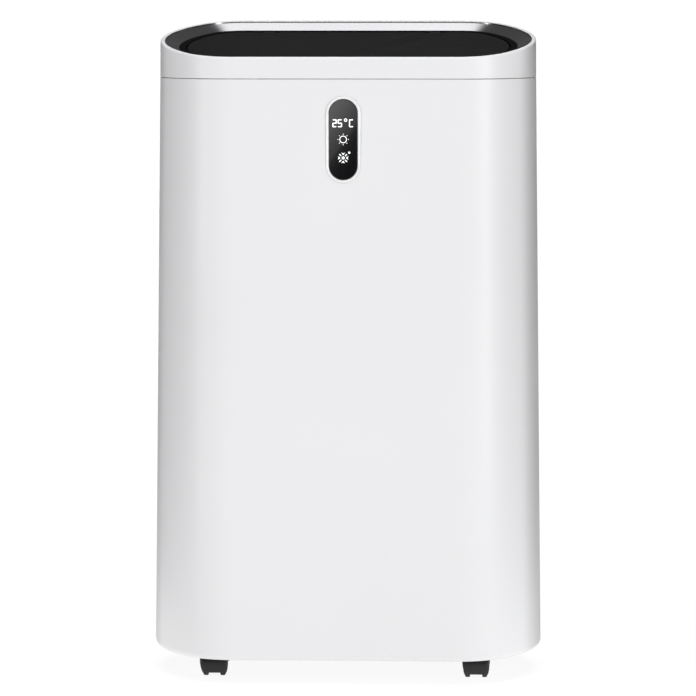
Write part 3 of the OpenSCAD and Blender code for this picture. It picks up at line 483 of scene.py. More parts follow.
@dataclass(frozen=True)
class Finish:
    """A surface of one base colour with grain, tone, worn edges and dust."""

    DUST: ClassVar[Colour] = (0.55, 0.53, 0.50)

    name: str
    colour: Colour
    tone: Colour
    roughness: float = 0.45
    rough_spread: float = 0.08
    metallic: float = 0.0
    specular: float = 0.5
    coat: float = 0.0
    grain_scale: float = 900.0
    grain_depth: float = 0.00004
    waves: float = 0.3
    wear: float = 0.3
    wear_colour: Colour = (0.9, 0.9, 0.9)
    dust: float = 0.1
    alpha: float = 1.0

    def _pattern(self, w: Wiring, colour: Socket) -> Pattern:
        """Leaves the colour as it is; finishes with a pattern add it here and may return a height too."""
        return colour, None

    def make(self, effects: Effects) -> bpy.types.Material:
        """Builds the material.

        Args:
            effects: The shared node groups.

        Returns:
            The material with its nodes.
        """
        material, w, shader = principled(self.name, {
            "Metallic": self.metallic, "Specular IOR Level": self.specular, "Coat Weight": self.coat,
            "Coat Roughness": 0.08, "Alpha": self.alpha,
        })
        grain = w.node("Group", node_tree=effects.grain, Scale=self.grain_scale, Waves=self.waves)
        wear = w.node("Group", node_tree=effects.wear, Amount=self.wear)
        dust = w.node("Group", node_tree=effects.dust, Amount=self.dust)
        colour = self._mix(w, grain.outputs["Tone"], self.colour, self.tone)
        colour, relief = self._pattern(w, colour)
        colour = self._mix(w, wear.outputs["Mask"], colour, self.wear_colour)
        colour = self._mix(w, dust.outputs["Mask"], colour, self.DUST)
        w.link(colour, shader.inputs["Base Color"])
        spread = self.rough_spread / 2
        rough = w.band(grain.outputs["Tone"], 0.0, 1.0, self.roughness - spread, self.roughness + spread)
        w.link(w.math("ADD", rough, w.math("MULTIPLY", dust.outputs["Mask"], 0.4)), shader.inputs["Roughness"])
        bump = w.node("Bump", Strength=0.6, Distance=self.grain_depth)
        w.link(grain.outputs["Height"], bump.inputs["Height"])
        if relief is not None:
            raised = w.node("Bump", Strength=0.8, Distance=0.0004)
            w.link(relief, raised.inputs["Height"])
            w.link(raised.outputs["Normal"], bump.inputs["Normal"])
        w.link(bump.outputs["Normal"], shader.inputs["Normal"])
        return material

    def _mix(
        self, w: Wiring, mask: Socket, a: Socket | Colour, b: Socket | Colour
    ) -> Socket:
        """Mixes two colours, each a value or a socket, by a mask."""
        made = w.node("Mix", data_type="RGBA")
        w.link(mask, made.inputs[0])
        for index, value in ((6, a), (7, b)):
            if isinstance(value, tuple):
                made.inputs[index].default_value = (*value, 1.0)
            else:
                w.link(value, made.inputs[index])
        return made.outputs[2]


@dataclass(frozen=True)
class BrushedFinish(Finish):
    """Metal with fine drawn lines along one axis."""

    stretch: Point = (1.0, 40.0, 40.0)

    def _pattern(self, w: Wiring, colour: Socket) -> Pattern:
        """Adds the drawn lines to the colour and the relief."""
        place = w.node("Mapping")
        place.inputs["Scale"].default_value = self.stretch
        w.link(w.node("TexCoord").outputs["Object"], place.inputs["Vector"])
        lines = w.noise(place.outputs["Vector"], 30.0, 4.0).outputs["Fac"]
        darker = tuple(0.72 * c for c in self.colour)
        return self._mix(w, w.band(lines, 0.35, 0.65, 0.0, 0.6), colour, darker), lines


@dataclass(frozen=True)
class WovenFinish(Finish):
    """A net or fabric of crossing threads."""

    SCALE_PITCH: ClassVar[float] = 0.314

    pitch: float = 0.0016
    gap_colour: Colour = (0.02, 0.02, 0.022)

    def _pattern(self, w: Wiring, colour: Socket) -> Pattern:
        """Weaves threads along X and Z."""
        where = w.node("TexCoord").outputs["Object"]
        threads = []
        for direction in ("X", "Z"):
            wave = w.node("TexWave", wave_type="BANDS", bands_direction=direction,
                          Scale=self.SCALE_PITCH / self.pitch, Distortion=0.0)
            w.link(where, wave.inputs["Vector"])
            threads.append(wave.outputs["Fac"])
        weave = w.math("MAXIMUM", threads[0], threads[1])
        return self._mix(w, w.band(weave, 0.55, 0.85), self.gap_colour, colour), weave


@dataclass(frozen=True)
class BoardFinish(Finish):
    """A printed circuit board with tracks and pads."""

    track: Colour = (0.10, 0.36, 0.16)

    def _pattern(self, w: Wiring, colour: Socket) -> Pattern:
        """Lays square tracks over the board's colour."""
        where = w.node("TexCoord").outputs["Object"]
        cells = w.node("TexVoronoi", distance="MANHATTAN", feature="F1", Scale=220.0)
        w.link(where, cells.inputs["Vector"])
        lines = w.band(cells.outputs["Distance"], 0.42, 0.48)
        return self._mix(w, lines, colour, self.track), lines


@dataclass(frozen=True)
class Glow:
    """A lit symbol of one colour."""

    name: str = "lit_symbol"
    colour: Colour = (1.0, 1.0, 1.0)
    strength: float = 1.15

    def make(self, effects: Effects) -> bpy.types.Material:
        """Builds the material, a little uneven over the surface as a lit segment is.

        Args:
            effects: The shared node groups.

        Returns:
            The material with its nodes.
        """
        material, w, shader = principled(self.name, {
            "Base Color": (0.5, 0.5, 0.5), "Roughness": 0.4, "Emission Strength": self.strength,
        })
        grain = w.node("Group", node_tree=effects.grain, Scale=600.0, Waves=0.2)
        mix = w.node("Mix", data_type="RGBA")
        mix.inputs[6].default_value = (*self.colour, 1.0)
        mix.inputs[7].default_value = (0.88, 0.92, 0.96, 1.0)
        w.link(grain.outputs["Tone"], mix.inputs[0])
        w.link(mix.outputs[2], shader.inputs["Emission Color"])
        return material


class Coat(Enum):
    """Every finish that the object has."""

    SHELL = Finish("white_shell", (0.81, 0.81, 0.82), (0.79, 0.79, 0.80), 0.42, specular=0.4, grain_scale=1400.0,
                   grain_depth=0.00002, waves=0.2, wear=0.0, dust=0.0)
    TRIM = Finish("display_trim", (0.88, 0.88, 0.88), (0.85, 0.85, 0.86), 0.18, specular=0.5, coat=0.3, wear=0.0,
                  dust=0.0)
    BEZEL = Finish("bezel", (0.175, 0.175, 0.178), (0.160, 0.160, 0.163), 0.20, 0.05, metallic=0.8, grain_scale=2200.0,
                   grain_depth=0.000008, waves=0.1, wear=0.0, dust=0.0)
    PANEL = Finish("black_panel", (0.0135, 0.0135, 0.0140), (0.0115, 0.0115, 0.0120), 0.85, 0.06, specular=0.06,
                   grain_scale=1100.0, grain_depth=0.00006, waves=0.0, wear=0.2,
                   wear_colour=(0.04, 0.04, 0.04), dust=0.0)
    # Black plastic of the outlet border, made darker than the flap's so that it also paints the shade of the gap round
    # the flap.
    BORDER_AND_PAINTED_SHADE = Finish("black_border_and_painted_shade", (0.0022, 0.0022, 0.0023), (0.0030, 0.0030, 0.0031), 0.8, 0.06, specular=0.04,
                    grain_scale=1100.0, grain_depth=0.00006, waves=0.0, wear=0.1,
                    wear_colour=(0.02, 0.02, 0.02), dust=0.0)
    BLACK = Finish("black_plastic", (0.012, 0.012, 0.013), (0.017, 0.017, 0.018), 0.6, specular=0.15, wear=0.4,
                   wear_colour=(0.10, 0.10, 0.10), dust=0.04)
    GLASS = Finish("display_glass", (0.003, 0.003, 0.004), (0.005, 0.005, 0.006), 0.03, 0.01, specular=0.5, coat=1.0,
                   grain_scale=400.0, grain_depth=0.000001, waves=0.0, wear=0.0, dust=0.0)
    SYMBOL = Glow()
    BOARD = BoardFinish("board", (0.02, 0.16, 0.06), (0.02, 0.12, 0.05), 0.35, wear=0.0, dust=0.1)
    STEEL = BrushedFinish("steel", (0.56, 0.56, 0.57), (0.48, 0.48, 0.49), 0.30, metallic=1.0, wear=0.5)
    BASE = Finish("base_plastic", (0.055, 0.058, 0.062), (0.040, 0.042, 0.046), 0.65, specular=0.3, wear=0.4,
                  wear_colour=(0.2, 0.2, 0.2), dust=0.35)
    INNER = Finish("inner_plastic", (0.60, 0.61, 0.62), (0.54, 0.55, 0.56), 0.55, specular=0.4, dust=0.3)
    FAN = Finish("fan_plastic", (0.045, 0.047, 0.05), (0.03, 0.032, 0.035), 0.5, specular=0.4, wear=0.3,
                 wear_colour=(0.2, 0.2, 0.2), dust=0.5)
    MESH = WovenFinish("filter_mesh", (0.16, 0.17, 0.18), (0.12, 0.13, 0.14), 0.8, specular=0.2, wear=0.0, dust=0.2)
    TANK = Finish("tank_plastic", (0.55, 0.68, 0.76), (0.50, 0.63, 0.72), 0.18, specular=0.5, wear=0.2, dust=0.0,
                  alpha=0.55)
    LID = Finish("lid_plastic", (0.74, 0.75, 0.75), (0.70, 0.71, 0.71), 0.45, specular=0.4, dust=0.1)
    BLACK_STEEL = Finish("black_steel", (0.020, 0.020, 0.022), (0.030, 0.030, 0.033), 0.35, 0.15, specular=0.5,
                         wear=0.8, wear_colour=(0.30, 0.28, 0.26), dust=0.35)
    FINS = BrushedFinish("fins", (0.72, 0.73, 0.74), (0.62, 0.64, 0.66), 0.35, metallic=1.0, stretch=(60.0, 1.0, 1.0),
                         dust=0.15)
    ALUMINIUM = BrushedFinish("aluminium", (0.70, 0.71, 0.72), (0.62, 0.63, 0.64), 0.35, metallic=1.0, wear=0.2)
    COPPER = BrushedFinish("copper", (0.68, 0.34, 0.19), (0.48, 0.22, 0.13), 0.30, 0.15, metallic=1.0, wear=0.5,
                           wear_colour=(0.85, 0.52, 0.36), dust=0.1)
    MOTOR = Finish("motor_metal", (0.25, 0.26, 0.27), (0.20, 0.21, 0.22), 0.4, metallic=0.8, wear=0.6, dust=0.3)
    RUBBER = Finish("rubber", (0.016, 0.016, 0.016), (0.026, 0.026, 0.026), 0.8, specular=0.2, grain_depth=0.0001,
                    wear=0.3, wear_colour=(0.08, 0.08, 0.08), dust=0.3)
    CASTER = Finish("caster_plastic", (0.010, 0.010, 0.011), (0.016, 0.016, 0.017), 0.38, specular=0.35, wear=0.5,
                    wear_colour=(0.07, 0.07, 0.07), dust=0.05)
    TREAD = Finish("wheel_tread", (0.012, 0.012, 0.012), (0.020, 0.020, 0.020), 0.7, specular=0.2, grain_depth=0.0001,
                   wear=0.6, wear_colour=(0.10, 0.10, 0.10), dust=0.15)


class Paintshop:
    """Makes each finish once and puts it on pieces."""

    def __init__(self) -> None:
        """Starts with the shared effects and no materials."""
        self.effects = Effects()
        self.made: dict[Coat, bpy.types.Material] = {}

    def material(self, coat: Coat) -> bpy.types.Material:
        """The material of a finish, made on first use."""
        if coat not in self.made:
            self.made[coat] = coat.value.make(self.effects)
        return self.made[coat]

    def dress(self, obj: Piece, coat: Coat) -> None:
        """Gives an object one finish all over."""
        obj.data.materials.clear()
        obj.data.materials.append(self.material(coat))

    def place(
        self, obj: Piece, coat: Coat, body: str, slot: str, nodes: Sequence[str] = (), angle: float = 32
    ) -> Piece:
        """Finishes a new piece, shades it, and rides it on its body.

        Args:
            obj: The piece.
            coat: Its finish.
            body: The body that it moves with.
            slot: The record's material slot; not used.
            nodes: The CAD nodes that it stands for.
            angle: Edges sharper than this many degrees stay sharp.

        Returns:
            The same piece.
        """
        shade(obj, angle)
        self.dress(obj, coat)
        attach(obj, body)
        if nodes:
            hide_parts(*nodes)
        LOG.info("%s on %s, %d faces", obj.name, body, len(obj.data.polygons))
        return obj


# ---------------------------------------------------------------- sub-assemblies


@dataclass
class Cabinet:
    """Front cover, rear cover and handle cups."""

    plan: Plan
    paint: Paintshop
    wall: float = 0.0025
    foot_r: float = 0.008
    lip: float = 0.0006
    split_y: float = 0.030
    seam_gap: float = 0.0005
    rows: int = 12

    def wall_loops(self) -> list[list[Point]]:
        """The section of the covers, from the lower edge up the outside and down the inside."""
        plan, loops = self.plan, []
        inset = plan.flare(plan.floor_z) - self.foot_r
        centre = plan.floor_z + self.foot_r
        turns = [math.radians(a) for a in range(0, 91, 10)]
        for a in turns[:-1]:
            loops.append(plan.level(inset + self.foot_r * math.sin(a), centre - self.foot_r * math.cos(a)))
        top = plan.seam_z
        heights = [centre + (top - self.lip - centre) * i / self.rows for i in range(self.rows + 1)]
        loops += [plan.wall(0, z) for z in heights]
        part = 0.35 * self.lip
        loops += [plan.wall(part, top - part), plan.wall(self.lip, top), plan.wall(self.wall, top)]
        loops += [plan.wall(self.wall, z) for z in heights[-2:0:-1]]
        inner = self.foot_r - self.wall
        for a in turns[::-1]:
            loops.append(plan.level(inset + inner * math.sin(a), centre - inner * math.cos(a)))
        return loops

    def patch(self, name: str, outline: Sequence[Flat]) -> Piece:
        """The part of the rear wall inside an outline, as a panel set flush in it."""
        panel = sweep(name, self.wall_loops())
        keep_side(panel, self.split_y + 0.03, front=False)
        combine(panel, prism("clip", outline, self.split_y, 2 * self.plan.half_d), "INTERSECT")
        return panel

    def build_front(self, window: list[Flat], recess: list[Flat], recess_y: float) -> None:
        """The front cover, open for the display.

        Args:
            window: Outline of the display's opening.
            recess: Outline of the shallow recess round it.
            recess_y: Depth position of the recess's floor.
        """
        cover = sweep("front_skin", self.wall_loops())
        keep_side(cover, self.split_y, front=True)
        combine(cover, prism("opening", window, *FRONT_CUT))
        combine(cover, prism("recess", recess, FRONT_CUT[0], recess_y))
        self.paint.place(cover, Coat.SHELL, "housing", "white_shell", ["front_cover"], 28)

    def build_rear(self, openings: list[list[Flat]], wells: list[Well]) -> None:
        """The rear cover, open for the tank, the intake, the handle cups and the outlets.

        Args:
            openings: Outlines cut right through towards the back.
            wells: X, Z, radius and depth of each round well that has a floor.
        """
        plan = self.plan
        reach = (plan.half_d - 0.03, plan.half_d + plan.flare(plan.floor_z) + 0.01)
        cover = sweep("rear_skin", self.wall_loops())
        keep_side(cover, self.split_y + self.seam_gap, front=False)
        outlines = openings + [circle(x, z, r) for x, z, r, _ in wells]
        combine(cover, join("holes", [prism("hole", outline, *reach) for outline in outlines]))
        lo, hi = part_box("handle_cups")
        brim = 0.0035
        outline = rounded(lo.y + brim, hi.y - brim, lo.z + brim, hi.z - brim, 0.006)
        for side in (-1, 1):
            ends = [[(side * x, y, z) for y, z in outline] for x in (plan.half_w - 0.07, plan.half_w + 0.03)]
            combine(cover, sweep("cup_hole", ends[::side], closed=False))
        soften(cover, 0.0004, 2, 50)
        cups, thick, bore = [], 0.002, 0.0062
        for x, z, r, depth in wells:
            floor = plan.half_d - depth
            outer = plan.half_d + plan.flare(z) - 0.0008
            section = [(r, floor), (r, outer), (r + thick, outer), (r + thick, floor - thick), (bore, floor - thick),
                       (bore, floor)]
            cups.append(lathe("well", section, (x, 0, z), "Y"))
        shell = join("rear_shell", [cover, *cups])
        self.paint.place(shell, Coat.SHELL, "housing", "white_shell", ["rear_cover"], 28)

    def build_cups(self) -> None:
        """The two pockets in the sides that the hands lift by."""
        lo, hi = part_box("handle_cups")
        plan, t, brim = self.plan, 0.0022, 0.0045
        y0, y1, z0, z1 = lo.y + brim, hi.y - brim, lo.z + brim, hi.z - brim
        inner_x, far = plan.half_w - 0.042, plan.half_w + 0.02
        back = inner_x + t
        section = (
            (far, 0, 0.006), (inner_x, 0, 0.006), (inner_x, -0.004, 0.004), (inner_x, -0.008, 0.003),
            (back, -0.008, 0.003), (back, -t - 0.006, 0.004), (back + 0.0035, -t - 0.001, 0.005),
            (back + 0.008, -t, 0.0045), (far, -t, 0.0045),
        )
        core = sweep("core", [plan.wall(0.0006, z0 - 0.01), plan.wall(0.0006, z1 + 0.01)], closed=False)
        cups = []
        for side in (-1, 1):
            def loop(x: float, grow: float, r: float) -> list[Point]:
                """One outline of the pocket across X."""
                return [(side * x, y, z) for y, z in rounded(y0 - grow, y1 + grow, z0 - grow, z1 + grow, r)]

            cup = sweep("cup", [loop(*row) for row in section])
            floor = sweep("floor", [loop(inner_x, -0.0075, 0.003), loop(back, -0.0075, 0.003)], closed=False)
            clip = core.copy()
            clip.data = core.data.copy()
            bpy.context.scene.collection.objects.link(clip)
            combine(cup, clip, "INTERSECT")
            cups += [cup, floor]
        bpy.data.objects.remove(core)
        self.paint.place(join("cup_pockets", cups), Coat.SHELL, "housing", "white_shell", ["handle_cups"], 30)


@dataclass
class Top:
    """Top ring, sloping bezel, outlet frame and flap."""

    plan: Plan
    paint: Paintshop
    wall: float = 0.0025
    rim_w: float = 0.0045
    bezel_w: float = 0.0155
    recess: float = 0.008
    border_w: float = 0.007
    gap: float = 0.0015
    flap_t: float = 0.003
    frame_t: float = 0.006
    hinge_x: float = 0.090
    knuckle_r: float = 0.0022
    knuckle_half: float = 0.006
    sunk: float = 0.0002

    def __post_init__(self) -> None:
        """Works out the border's inner edge and the place of the hinge's axis."""
        self.edge = -self.rim_w - self.bezel_w - self.border_w
        self.hinge_y = self.plan.half_d * self.plan.stretch + self.edge + 0.001
        self.hinge_z = -self.recess - self.sunk - self.knuckle_r

    def _skin(self, name: str, section: Sequence[Flat], closed: bool = True) -> Piece:
        """A band round the top, from its section of offset and height over the rim's plane."""
        return sweep(name, [self.plan.sloping(offset, z) for offset, z in section], closed)

    def _slab(self, name: str, outline: Sequence[Flat], z0: float, z1: float) -> Piece:
        """A block in the top's own axes, from its outline."""
        return sweep(name, [[self.plan.on_top(x, y, z) for x, y in outline] for z in (z0, z1)], closed=False)

    def _barrel(self, centre: float, section: Sequence[Flat]) -> Piece:
        """A round body on the hinge's axis, from its section of radius and distance along the axis."""
        turn = [2 * math.pi * i / 32 for i in range(32)]
        rings = []
        for r, x in section:
            ring = [(centre + x, self.hinge_y + r * math.cos(a), self.hinge_z + r * math.sin(a)) for a in turn]
            rings.append([self.plan.on_top(*point) for point in ring])
        return sweep("barrel", rings, closed=False)

    def build_ring(self) -> None:
        """The white ring above the seam, with its rolled rim."""
        plan, lip = self.plan, 0.0006
        base = plan.seam_z + 0.0005
        loops = [plan.wall(lip, base), plan.wall(0.35 * lip, base + 0.35 * lip), plan.wall(0, base + lip)]
        roll = 0.0016
        for a in (0, 22.5, 45, 67.5, 90):
            t = math.radians(a)
            loops.append(plan.sloping(-roll + roll * math.cos(t), -roll + roll * math.sin(t)))
        inner = 0.0007
        for a in (90, 60, 30, 0):
            t = math.radians(a)
            loops.append(plan.sloping(-self.rim_w + inner - inner * math.cos(t), -inner + inner * math.sin(t)))
        loops += [plan.sloping(-self.rim_w, -0.003), plan.sloping(-self.wall, -0.003), plan.wall(self.wall, base)]
        self.paint.place(sweep("rim_ring", loops), Coat.SHELL, "housing", "white_shell", ["top_ring"], 28)

    def build_bezel(self) -> None:
        """The dark ring that slopes from the rim down to the outlet."""
        outer, inner, deep = -self.rim_w, -self.rim_w - self.bezel_w, -self.recess
        section = (
            (outer - 0.0001, -0.0026), (outer - 0.0001, -0.0005), (outer - 0.0004, -0.0003), (outer - 0.0008, -0.0006),
            (outer - 0.0010, -0.0018), (outer - 0.0014, -0.0022), (inner + 0.0008, deep + 0.0004),
            (inner + 0.0002, deep - 0.0002), (inner, deep - 0.00059), (inner + 0.003, deep - 0.0006),
        )
        self.paint.place(self._skin("bezel_ring", section), Coat.BEZEL, "housing", "bezel", ["top_bezel"], 24)

    def build_frame(self) -> None:
        """The fixed black border, with a recess for each knuckle of the flap's hinge; its finish is darker than the
        flap's, which paints the shade of the gap round the flap.
        """
        edge, outer = self.edge, -0.008
        ledge = edge - 0.0075
        top, bottom, shelf = -self.recess, -self.recess - self.frame_t, -self.recess - self.flap_t - 0.0005
        section = (
            (outer, top), (edge + 0.0006, top), (edge + 0.0002, top - 0.0002), (edge, top - 0.0006), (edge, shelf),
            (ledge, shelf), (ledge, bottom), (outer, bottom),
        )
        border = self._skin("outlet_border", section[::-1])
        r, half = self.knuckle_r + 0.0008, self.knuckle_half + 0.0004
        recesses = [self._barrel(side * self.hinge_x, ((r, -half), (r, half))) for side in (-1, 1)]
        combine(border, join("recesses", recesses))
        # The border's near-black finish is partly its own black and partly painted shade of the gap round the flap.
        self.paint.place(border, Coat.BORDER_AND_PAINTED_SHADE, "housing", "black_panel", ["outlet_frame"], 30)

    def build_flap(self, ear_half: float = 0.0112) -> None:
        """The panel in the middle, hinged at the back, with a shallow finger notch at the front.

        Args:
            ear_half: Half the width of the cut for a hinge's ears.
        """
        edge, top = self.edge - self.gap, -self.recess - self.sunk
        bottom, cut_z = top - self.flap_t, (-0.02, 0.0)
        section = (
            (edge - 0.002, bottom + 0.0008), (edge - 0.0010, bottom), (edge, bottom + 0.0004), (edge, top - 0.0009),
            (edge - 0.0003, top - 0.0003), (edge - 0.0009, top),
        )
        panel = self._skin("flap_panel", section, closed=False)
        back = (self.plan.half_d + edge) * self.plan.stretch
        r, half, tools, barrels = self.knuckle_r, self.knuckle_half, [], []
        knuckle = ((r - 0.0003, -half), (r, 0.0003 - half), (r, half - 0.0003), (r - 0.0003, half))

        def around(x: float, wide: float, y0: float, y1: float) -> list[Flat]:
            """A rectangle of a half width round x, in the top's own axes."""
            return [(x - wide, y0), (x + wide, y0), (x + wide, y1), (x - wide, y1)]

        for x in (-self.hinge_x, self.hinge_x):
            tools.append(self._slab("ear_cut", around(x, ear_half, back - 0.003, back + 0.02), *cut_z))
            web = around(x, half, self.hinge_y - 0.0095, self.hinge_y - 0.0012)
            barrels += [self._barrel(x, knuckle), self._slab("web", web, top - 0.0018, top - 0.0001)]
        tools.append(self._slab("notch", circle(0.0, -back - 0.007, 0.012), *cut_z))
        combine(panel, join("cuts", tools))
        self.paint.place(join("flap_leaf", [panel, *barrels]), Coat.PANEL, "flap", "black_panel", ["outlet_flap"], 30)


@dataclass
class Display:
    """The pill-shaped display: ring, window and lit symbols."""

    plan: Plan
    paint: Paintshop
    stroke: float = 0.00112
    digit_h: float = 0.0082
    digit_w: float = 0.0046

    PROUD: ClassVar[float] = -0.00012
    SUNK: ClassVar[float] = 0.0002

    def __post_init__(self) -> None:
        """Reads the display's place and size from the frame."""
        self.lo, self.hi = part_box("display_window")
        self.ring_lo, self.ring_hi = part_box("display_ring")
        self.x, self.z = middle("display_window")
        self.front = self.lo.y

    def pill(self, grow: float, lo: Vector, hi: Vector) -> list[Flat]:
        """The outline of a box's full round, grown by a distance."""
        half = (hi.x - lo.x) / 2 + grow
        return rounded(lo.x - grow, hi.x + grow, lo.z - grow, hi.z + grow, half - 0.00001, 24)

    def build(self) -> None:
        """Builds the ring, the window and the symbols."""
        y = self.front
        ring = [(0.0032, 0.0006), (0.0032, -0.0003), (0.0029, -0.0008), (0.0022, -0.00105), (0.0012, -0.0010),
                (0.0006, -0.0006), (0.0003, 0.0000), (0.0002, 0.0006)]
        base = self.ring_hi.y - 0.0006
        loops = [facing(self.pill(grow - 0.0002, self.lo, self.hi), base + dy) for grow, dy in ring]
        self.paint.place(sweep("trim_ring", loops), Coat.TRIM, "housing", "display_trim", ["display_ring"], 50)
        window = [(0.0, self.hi.y), (0.0, y + 0.0007), (-0.0002, y + 0.0002), (-0.0007, y)]
        loops = [facing(self.pill(grow, self.lo, self.hi), at) for grow, at in window]
        self.paint.place(sweep("window_pane", loops, closed=False), Coat.GLASS, "housing", "display_glass",
                         ["display_window"], 20)
        symbols = self._reading() + self._sun() + self._flake()
        self.paint.place(join("lit_symbols", symbols), Coat.SYMBOL, "housing", "display_glass")

    def _stroke(self, points: Sequence[Flat]) -> Piece:
        """A flat lit shape on the window, from its outline round the display's centre."""
        outline = [(self.x + px, self.z + pz) for px, pz in points]
        return prism("lit", outline, self.front + self.PROUD, self.front + self.SUNK)

    def _bar(self, x0: float, z0: float, x1: float, z1: float, width: float) -> Piece:
        """A lit bar between two points."""
        along = Vector((x1 - x0, z1 - z0)).normalized()
        side = Vector((-along.y, along.x)) * width / 2
        tip = along * width / 2
        return self._stroke([
            (x0 + side.x, z0 + side.y), (x0 - tip.x, z0 - tip.y), (x0 - side.x, z0 - side.y),
            (x1 - side.x, z1 - side.y), (x1 + tip.x, z1 + tip.y), (x1 + side.x, z1 + side.y),
        ])

    def _ring(self, x: float, z: float, r: float, width: float) -> Piece:
        """A lit ring."""
        outer, inner = (circle(self.x + x, self.z + z, r + side * width / 2, 36) for side in (1, -1))
        section = ((outer, self.SUNK), (outer, self.PROUD), (inner, self.PROUD), (inner, self.SUNK))
        return sweep("lit", [facing(outline, self.front + dy) for outline, dy in section])

    def _reading(self, z: float = 0.0170) -> list[Piece]:
        """The temperature in seven-segment figures."""
        w, h = self.digit_w - self.stroke, self.digit_h - self.stroke
        segments = {
            "top": (0, h / 2, w, h / 2), "middle": (0, 0, w, 0), "bottom": (0, -h / 2, w, -h / 2),
            "upper_left": (0, 0, 0, h / 2), "upper_right": (w, 0, w, h / 2),
            "lower_left": (0, -h / 2, 0, 0), "lower_right": (w, -h / 2, w, 0),
        }
        signs = (
            (-0.0107, ("top", "upper_right", "middle", "lower_left", "bottom")),
            (-0.0052, ("top", "upper_left", "middle", "lower_right", "bottom")),
            (0.0066, ("top", "upper_left", "lower_left", "bottom")),
        )
        inset, bars = self.stroke * 0.20, []
        for x, names in signs:
            for name in names:
                x0, z0, x1, z1 = segments[name]
                dx, dz = (inset, 0.0) if z0 == z1 else (0.0, inset)
                bars.append(self._bar(x + x0 + dx, z + z0 + dz, x + x1 - dx, z + z1 - dz, self.stroke))
        bars.append(self._ring(0.0025, z + h / 2 - 0.0003, 0.0013, 0.0008))
        return bars

    def _sun(self, z: float = 0.0002, r: float = 0.0035) -> list[Piece]:
        """A ring with eight short rays."""
        parts = [self._ring(0.0, z, r, 0.0007)]
        for i in range(8):
            c, s = math.cos(i * math.pi / 4), math.sin(i * math.pi / 4)
            parts.append(self._bar(c * 0.0052, z + s * 0.0052, c * 0.0057, z + s * 0.0057, 0.0007))
        return parts

    def _flake(self, z: float = -0.0190) -> list[Piece]:
        """A snowflake of four forked and four plain arms round a hub, and a dot beside it."""
        parts = [self._stroke(circle(0.0, z, 0.0015, 20)), self._stroke(circle(0.0063, z + 0.0055, 0.0011, 20))]
        for i in range(8):
            c, s = math.cos(i * math.pi / 4), math.sin(i * math.pi / 4)
            if i % 2:
                parts.append(self._bar(c * 0.0030, z + s * 0.0030, c * 0.0053, z + s * 0.0053, 0.0010))
                continue
            inner, outer, half = 0.0028, 0.0056, 0.0019
            wedge = [(inner, 0.0), (outer, half), (outer - 0.0010, 0.0), (outer, -half)]
            parts.append(self._stroke([(c * u - s * v, z + s * u + c * v) for u, v in wedge]))
        return parts


@dataclass
class RearPanels:
    """The intake grille and the tank's front panel, set flush in the rear cover."""

    plan: Plan
    paint: Paintshop
    cabinet: Cabinet
    slot_h: float = 0.006
    slot_pitch: float = 0.0105
    corner: float = 0.006

    def build_grille(self) -> None:
        """The intake grille with its slats, ribs, notch and inner rim."""
        lo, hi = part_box("intake_grille")
        outer, inner = inset(lo, hi, 0, self.corner), inset(lo, hi, 0.002, 0.004)
        panel = self.cabinet.patch("grille_panel", outer)
        count = math.floor((hi.z - lo.z + 0.002 - 0.044) / self.slot_pitch)
        tools = []
        for i in range(count):
            z = lo.z + 0.010 + i * self.slot_pitch
            tools.append(prism("slot", rounded(lo.x + 0.008, hi.x - 0.008, z, z + self.slot_h, 0.0029), *BACK_CUT))
        tools.append(prism("notch", rounded(-0.028, 0.028, hi.z - 0.022, hi.z - 0.008, 0.005), *BACK_CUT))
        combine(panel, join("slots", tools))
        soften(panel, 0.0003, 2, 50)
        y0, y1 = self.plan.half_d - 0.006, self.plan.half_d - 0.001
        rim = ((outer, y0), (inner, y0), (inner, y1), (outer, y1))
        parts = [panel, sweep("rim", [facing(outline, y) for outline, y in rim])]
        for i in range(1, 5):
            x = lo.x + (hi.x - lo.x) * i / 5
            rib = rounded(x - 0.0009, x + 0.0009, lo.z + 0.004, hi.z - 0.024, 0.0008, 3)
            parts.append(prism("rib", rib, y0 + 0.0004, y1))
        self.paint.place(join("intake_panel", parts), Coat.SHELL, "cassette", "white_shell", ["intake_grille"], 30)

    def build_tank_front(self) -> None:
        """The tank's front panel with its finger grip and the struts to the tank."""
        lo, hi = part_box("tank_front")
        tank_lo, tank_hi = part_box("water_tank")
        panel = self.cabinet.patch("tank_panel", inset(lo, hi, 0, self.corner))
        x, _ = middle("tank_front")
        half = 0.045
        grip = rounded(x - half, x + half, hi.z - 0.043, hi.z - 0.017, 0.007)
        combine(panel, prism("grip_hole", grip, *BACK_CUT))
        soften(panel, 0.0004, 2, 50)
        z0, z1 = hi.z - 0.043, hi.z - 0.017
        face = self.plan.half_d + self.plan.flare((z0 + z1) / 2) - 0.0012
        depth = self.plan.half_d - 0.016

        def loop(grow: float, y: float, r: float) -> list[Point]:
            """One outline of the grip's pocket across Y."""
            return facing(rounded(x - half - grow, x + half + grow, z0 - grow, z1 + grow, r), y)

        section = (
            (0.0018, face, 0.0088), (0.0018, depth - 0.0018, 0.0088), (-0.003, depth - 0.0018, 0.004),
            (-0.003, depth, 0.004), (-0.0022, depth + 0.0006, 0.005), (0, depth + 0.003, 0.007), (0, face, 0.007),
        )
        pocket = sweep("pocket", [loop(*row) for row in section])
        floor = sweep("pocket_floor", [loop(-0.0025, depth - 0.0018, 0.004), loop(-0.0025, depth, 0.004)], closed=False)
        struts = []
        for side in (-1, 1):
            cx = middle("water_tank")[0] + side * (tank_hi.x - tank_lo.x) / 3
            outline = rounded(cx - 0.004, cx + 0.004, tank_lo.z + 0.004, tank_hi.z - 0.030, 0.001)
            struts.append(prism("strut", outline, tank_hi.y, self.plan.half_d + 0.002))
        front = join("drawer_front", [panel, pocket, floor, *struts])
        self.paint.place(front, Coat.SHELL, "tank", "white_shell", ["tank_front"], 30)


